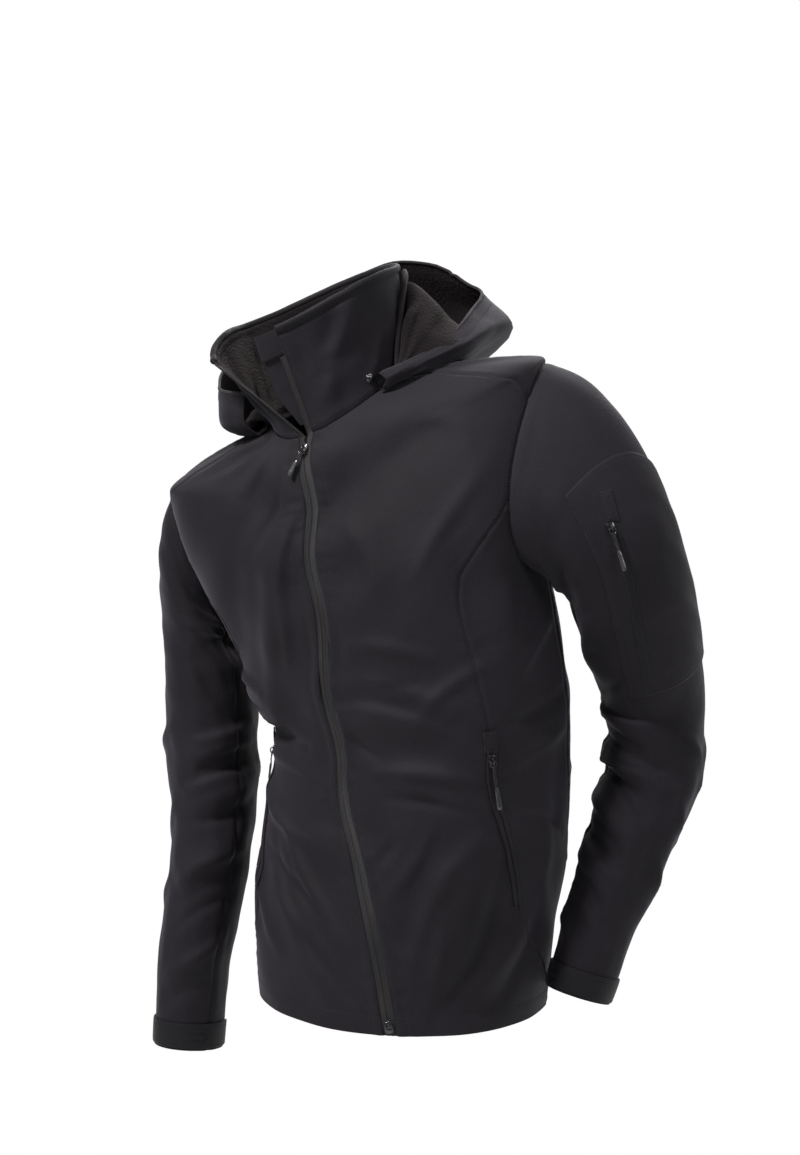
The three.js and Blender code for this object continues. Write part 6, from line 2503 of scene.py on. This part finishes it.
@dataclass
class Fasteners:
    """The zip box at the hem and the snaps that hold the hood's front ends."""

    box_level: float = 0.004
    snap_sides: dict[Hand, float] = field(default_factory=lambda: {Hand.LEFT: 0.150, Hand.RIGHT: 0.858})
    snap_rise: float = 0.17

    def build(self) -> None:
        """Builds the box and the snaps."""
        seat = Seat.on(BODY, 0.0, self.box_level + 0.008, 0.35)
        seat = Seat(BODY.point(np.array([0.0]), np.array([self.box_level]))[0] + seat.out * 0.35,
                    seat.across, seat.top, seat.out)
        box = Hardware("zip_box_fine", seat)
        box.plate([(-4.6, 0), (4.6, 0), (4.6, 12), (3.4, 13), (-3.4, 13), (-4.6, 12)],
                  0, 2.6, Look.METAL)
        box.plate([(-3.2, 1.4), (3.2, 1.4), (3.2, 6.5), (-3.2, 6.5)], 2.3, 3.0, Look.METAL, 0.3)
        box.rod([(0, 8, 2.5), (0, 9.5, 2.7), (0, 12, 2.7), (0, 14.5, 2.3)], 0.8, 0.5, Look.METAL)
        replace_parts(box.build(slot="metal"), "zip_box")
        for hand, side in self.snap_sides.items():
            at, rise = np.array([side]), np.array([self.snap_rise])
            out = COLLAR.normal(at, rise)[0]
            top = unit(NECK_UP - out * (NECK_UP @ out))
            snap = Hardware(f"hood_snap_{hand.word}_fine",
                            Seat(COLLAR.point(at, rise)[0] + out * 0.5, np.cross(top, out), top, out))
            profile = [(4.2, 0), (5.0, 0.2), (5.15, 0.7), (4.7, 1.15), (4.1, 1.05), (3.7, 1.3),
                       (3.4, 1.9), (2.6, 2.3), (1.5, 2.45), (0.5, 2.5)]
            angle = np.linspace(0, 2 * np.pi, 28, endpoint=False)
            rings = np.array([[(r * math.cos(t), r * math.sin(t), z) for t in angle]
                              for r, z in profile])
            first = snap.count
            snap.grid(snap.seat.put(rings), Look.METAL, wrap=True)
            last = first + 28 * (len(profile) - 1)
            snap.close_ends(first, last, 28, Look.METAL)
            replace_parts(snap.build(slot="metal"), f"hood_snap_{hand.word}")


# ---- Studio ----


@dataclass
class Studio:
    """Camera, floor and soft light."""

    azimuth: float = 25.0
    elevation: float = 5.0
    distance: float = 3.0
    lens: float = 85.0
    photo: tuple[int, int] = (800, 1155)
    origin_at: tuple[float, float] = (345.0, 395.0)
    floor_at: float = -1.45
    aim: tuple[float, float, float] = (0.05, 0, -0.35)
    lamps: tuple = (
        ("key", (-0.9, -1.7, 2.3), 0.6, 135, (1.0, 0.975, 0.98)),
        ("side", (2.3, -0.9, 1.0), 0.9, 18, (0.97, 0.97, 1.0)),
        ("rear", (-0.6, 2.4, 1.6), 1.4, 26, (1.0, 1.0, 1.0)),
    )

    def build(self) -> None:
        """Builds the studio."""
        self.build_camera()
        self.build_floor()
        self.build_light()

    def build_camera(self) -> None:
        """Points the camera as the photo was taken."""
        turn, climb = math.radians(self.azimuth), math.radians(self.elevation)
        back = Vector((math.sin(turn) * math.cos(climb), -math.cos(turn) * math.cos(climb),
                       math.sin(climb)))
        right = Vector((math.cos(turn), math.sin(turn), 0))
        up = back.cross(right)
        focal = self.lens / 36 * self.photo[1]
        shift = [(size / 2 - at) / focal * self.distance
                 for size, at in zip(self.photo, self.origin_at)]
        data = bpy.data.cameras.new("camera")
        data.lens, data.sensor_width, data.sensor_fit = self.lens, 36, "AUTO"
        camera = bpy.data.objects.new("camera", data)
        matrix = Matrix((right, up, back)).transposed().to_4x4()
        matrix.translation = back * self.distance + right * shift[0] - up * shift[1]
        camera.matrix_world = matrix
        bpy.context.scene.collection.objects.link(camera)
        bpy.context.scene.camera = camera

    def build_floor(self) -> None:
        """Lays a pale floor well below the hem."""
        mesh = bpy.data.meshes.new("floor")
        mesh.from_pydata([(x, y, self.floor_at) for x, y in ((-3, -3.5), (3, -3.5), (3, 1.1), (-3, 1.1))],
                         [], [(0, 1, 2, 3)])
        floor = bpy.data.objects.new("floor", mesh)
        mesh.materials.append(Ground("pale_floor", (0.80, 0.80, 0.80), (0.86, 0.86, 0.86), 0.9).build())
        bpy.context.scene.collection.objects.link(floor)

    def lamp(self, name: str, place: Sequence[float], size: float, power: float, tint: Colour) -> None:
        """Hangs a soft square lamp that faces the chest.

        Args:
            name: its name.
            place: where it hangs, in metres.
            size: its side.
            power: its power in watts.
            tint: its colour.
        """
        data = bpy.data.lights.new(name, "AREA")
        data.shape, data.size, data.energy, data.color = "SQUARE", size, power, tint
        lamp = bpy.data.objects.new(name, data)
        lamp.location = place
        lamp.rotation_euler = (Vector(place) - Vector(self.aim)).to_track_quat("Z", "Y").to_euler()
        bpy.context.scene.collection.objects.link(lamp)

    @staticmethod
    def fade(tree: bpy.types.NodeTree, source: bpy.types.NodeSocket, low: tuple[float, float],
             high: tuple[float, float]) -> bpy.types.NodeSocket:
        """A grey that fades between two places of a source.

        Args:
            tree: the node tree.
            source: what it follows, from -1 to 1.
            low: place and grey where it starts.
            high: place and grey where it ends.

        Returns:
            The colour socket.
        """
        scaled = tree.nodes.new("ShaderNodeMapRange")
        tree.links.new(source, scaled.inputs["Value"])
        for name, value in zip(("From Min", "To Min", "From Max", "To Max"), (*low, *high)):
            scaled.inputs[name].default_value = value
        return scaled.outputs[0]

    def build_light(self) -> None:
        """Surroundings white behind and dim below in front, with soft lamps."""
        world = bpy.data.worlds.new("studio")
        bpy.context.scene.world = world
        world.use_nodes = True
        tree = world.node_tree
        background = next(n for n in tree.nodes if n.type == "BACKGROUND")
        way = tree.nodes.new("ShaderNodeSeparateXYZ")
        tree.links.new(tree.nodes.new("ShaderNodeTexCoord").outputs["Generated"], way.inputs[0])
        front = self.fade(tree, way.outputs["Z"], (-0.3, 0.01), (0.9, 0.42))
        blend = tree.nodes.new("ShaderNodeMix")
        blend.data_type = "RGBA"
        tree.links.new(self.fade(tree, way.outputs["Y"], (0.25, 0.0), (0.5, 1.0)), blend.inputs["Factor"])
        tree.links.new(front, next(i for i in blend.inputs if i.name == "A" and i.type == "RGBA"))
        next(i for i in blend.inputs if i.name == "B" and i.type == "RGBA").default_value = (1, 1, 1, 1)
        result = next(o for o in blend.outputs if o.type == "RGBA")
        tree.links.new(result, background.inputs["Color"])
        for lamp in self.lamps:
            self.lamp(*lamp)
        bpy.context.scene.view_settings.view_transform = "Standard"


def build_pulls() -> None:
    """Builds the four sliders, each with its pull turned and lifted as in the photo."""
    front = Seat.on(BODY, 0.0, FRONT_SLIDER, FRONT_RISE)
    ZipPull("front", front, cord=8, tip=18, swing=-25, tilt=2).build()
    for hand, cord, tip, swing, tilt in ((Hand.LEFT, 22, 24, 8, 3), (Hand.RIGHT, 9, 20, -14, 12)):
        seat = Seat.on(BODY, hand.value * POCKET_SLIDER[0], POCKET_SLIDER[1], POCKET_RISE)
        ZipPull(f"pocket_{hand.word}", seat, cord, tip, swing, tilt).build()
    arm = Seat.on(SLEEVES[Hand.LEFT], *ARM_SLIDER, ARM_RISE, upwards=-1.0)
    ZipPull("sleeve", arm, cord=18, tip=22, swing=-6, tilt=3).build()


def main() -> None:
    """Builds the jacket, the hardware and the studio, in order."""
    logging.basicConfig(level=logging.INFO, format="%(name)s: %(message)s")
    trunk = Trunk()
    trunk.build()
    sleeves = {hand: Sleeve(hand) for hand in Hand}
    for sleeve in sleeves.values():
        sleeve.build()
    Collar().build()
    Hood().build()
    FrontZip().build()
    for hand in Hand:
        HandPocket(hand, trunk).build()
    SleevePocket(sleeves[Hand.LEFT]).build()
    build_pulls()
    Fasteners().build()
    Studio().build()


if __name__ == "__main__":
    main()
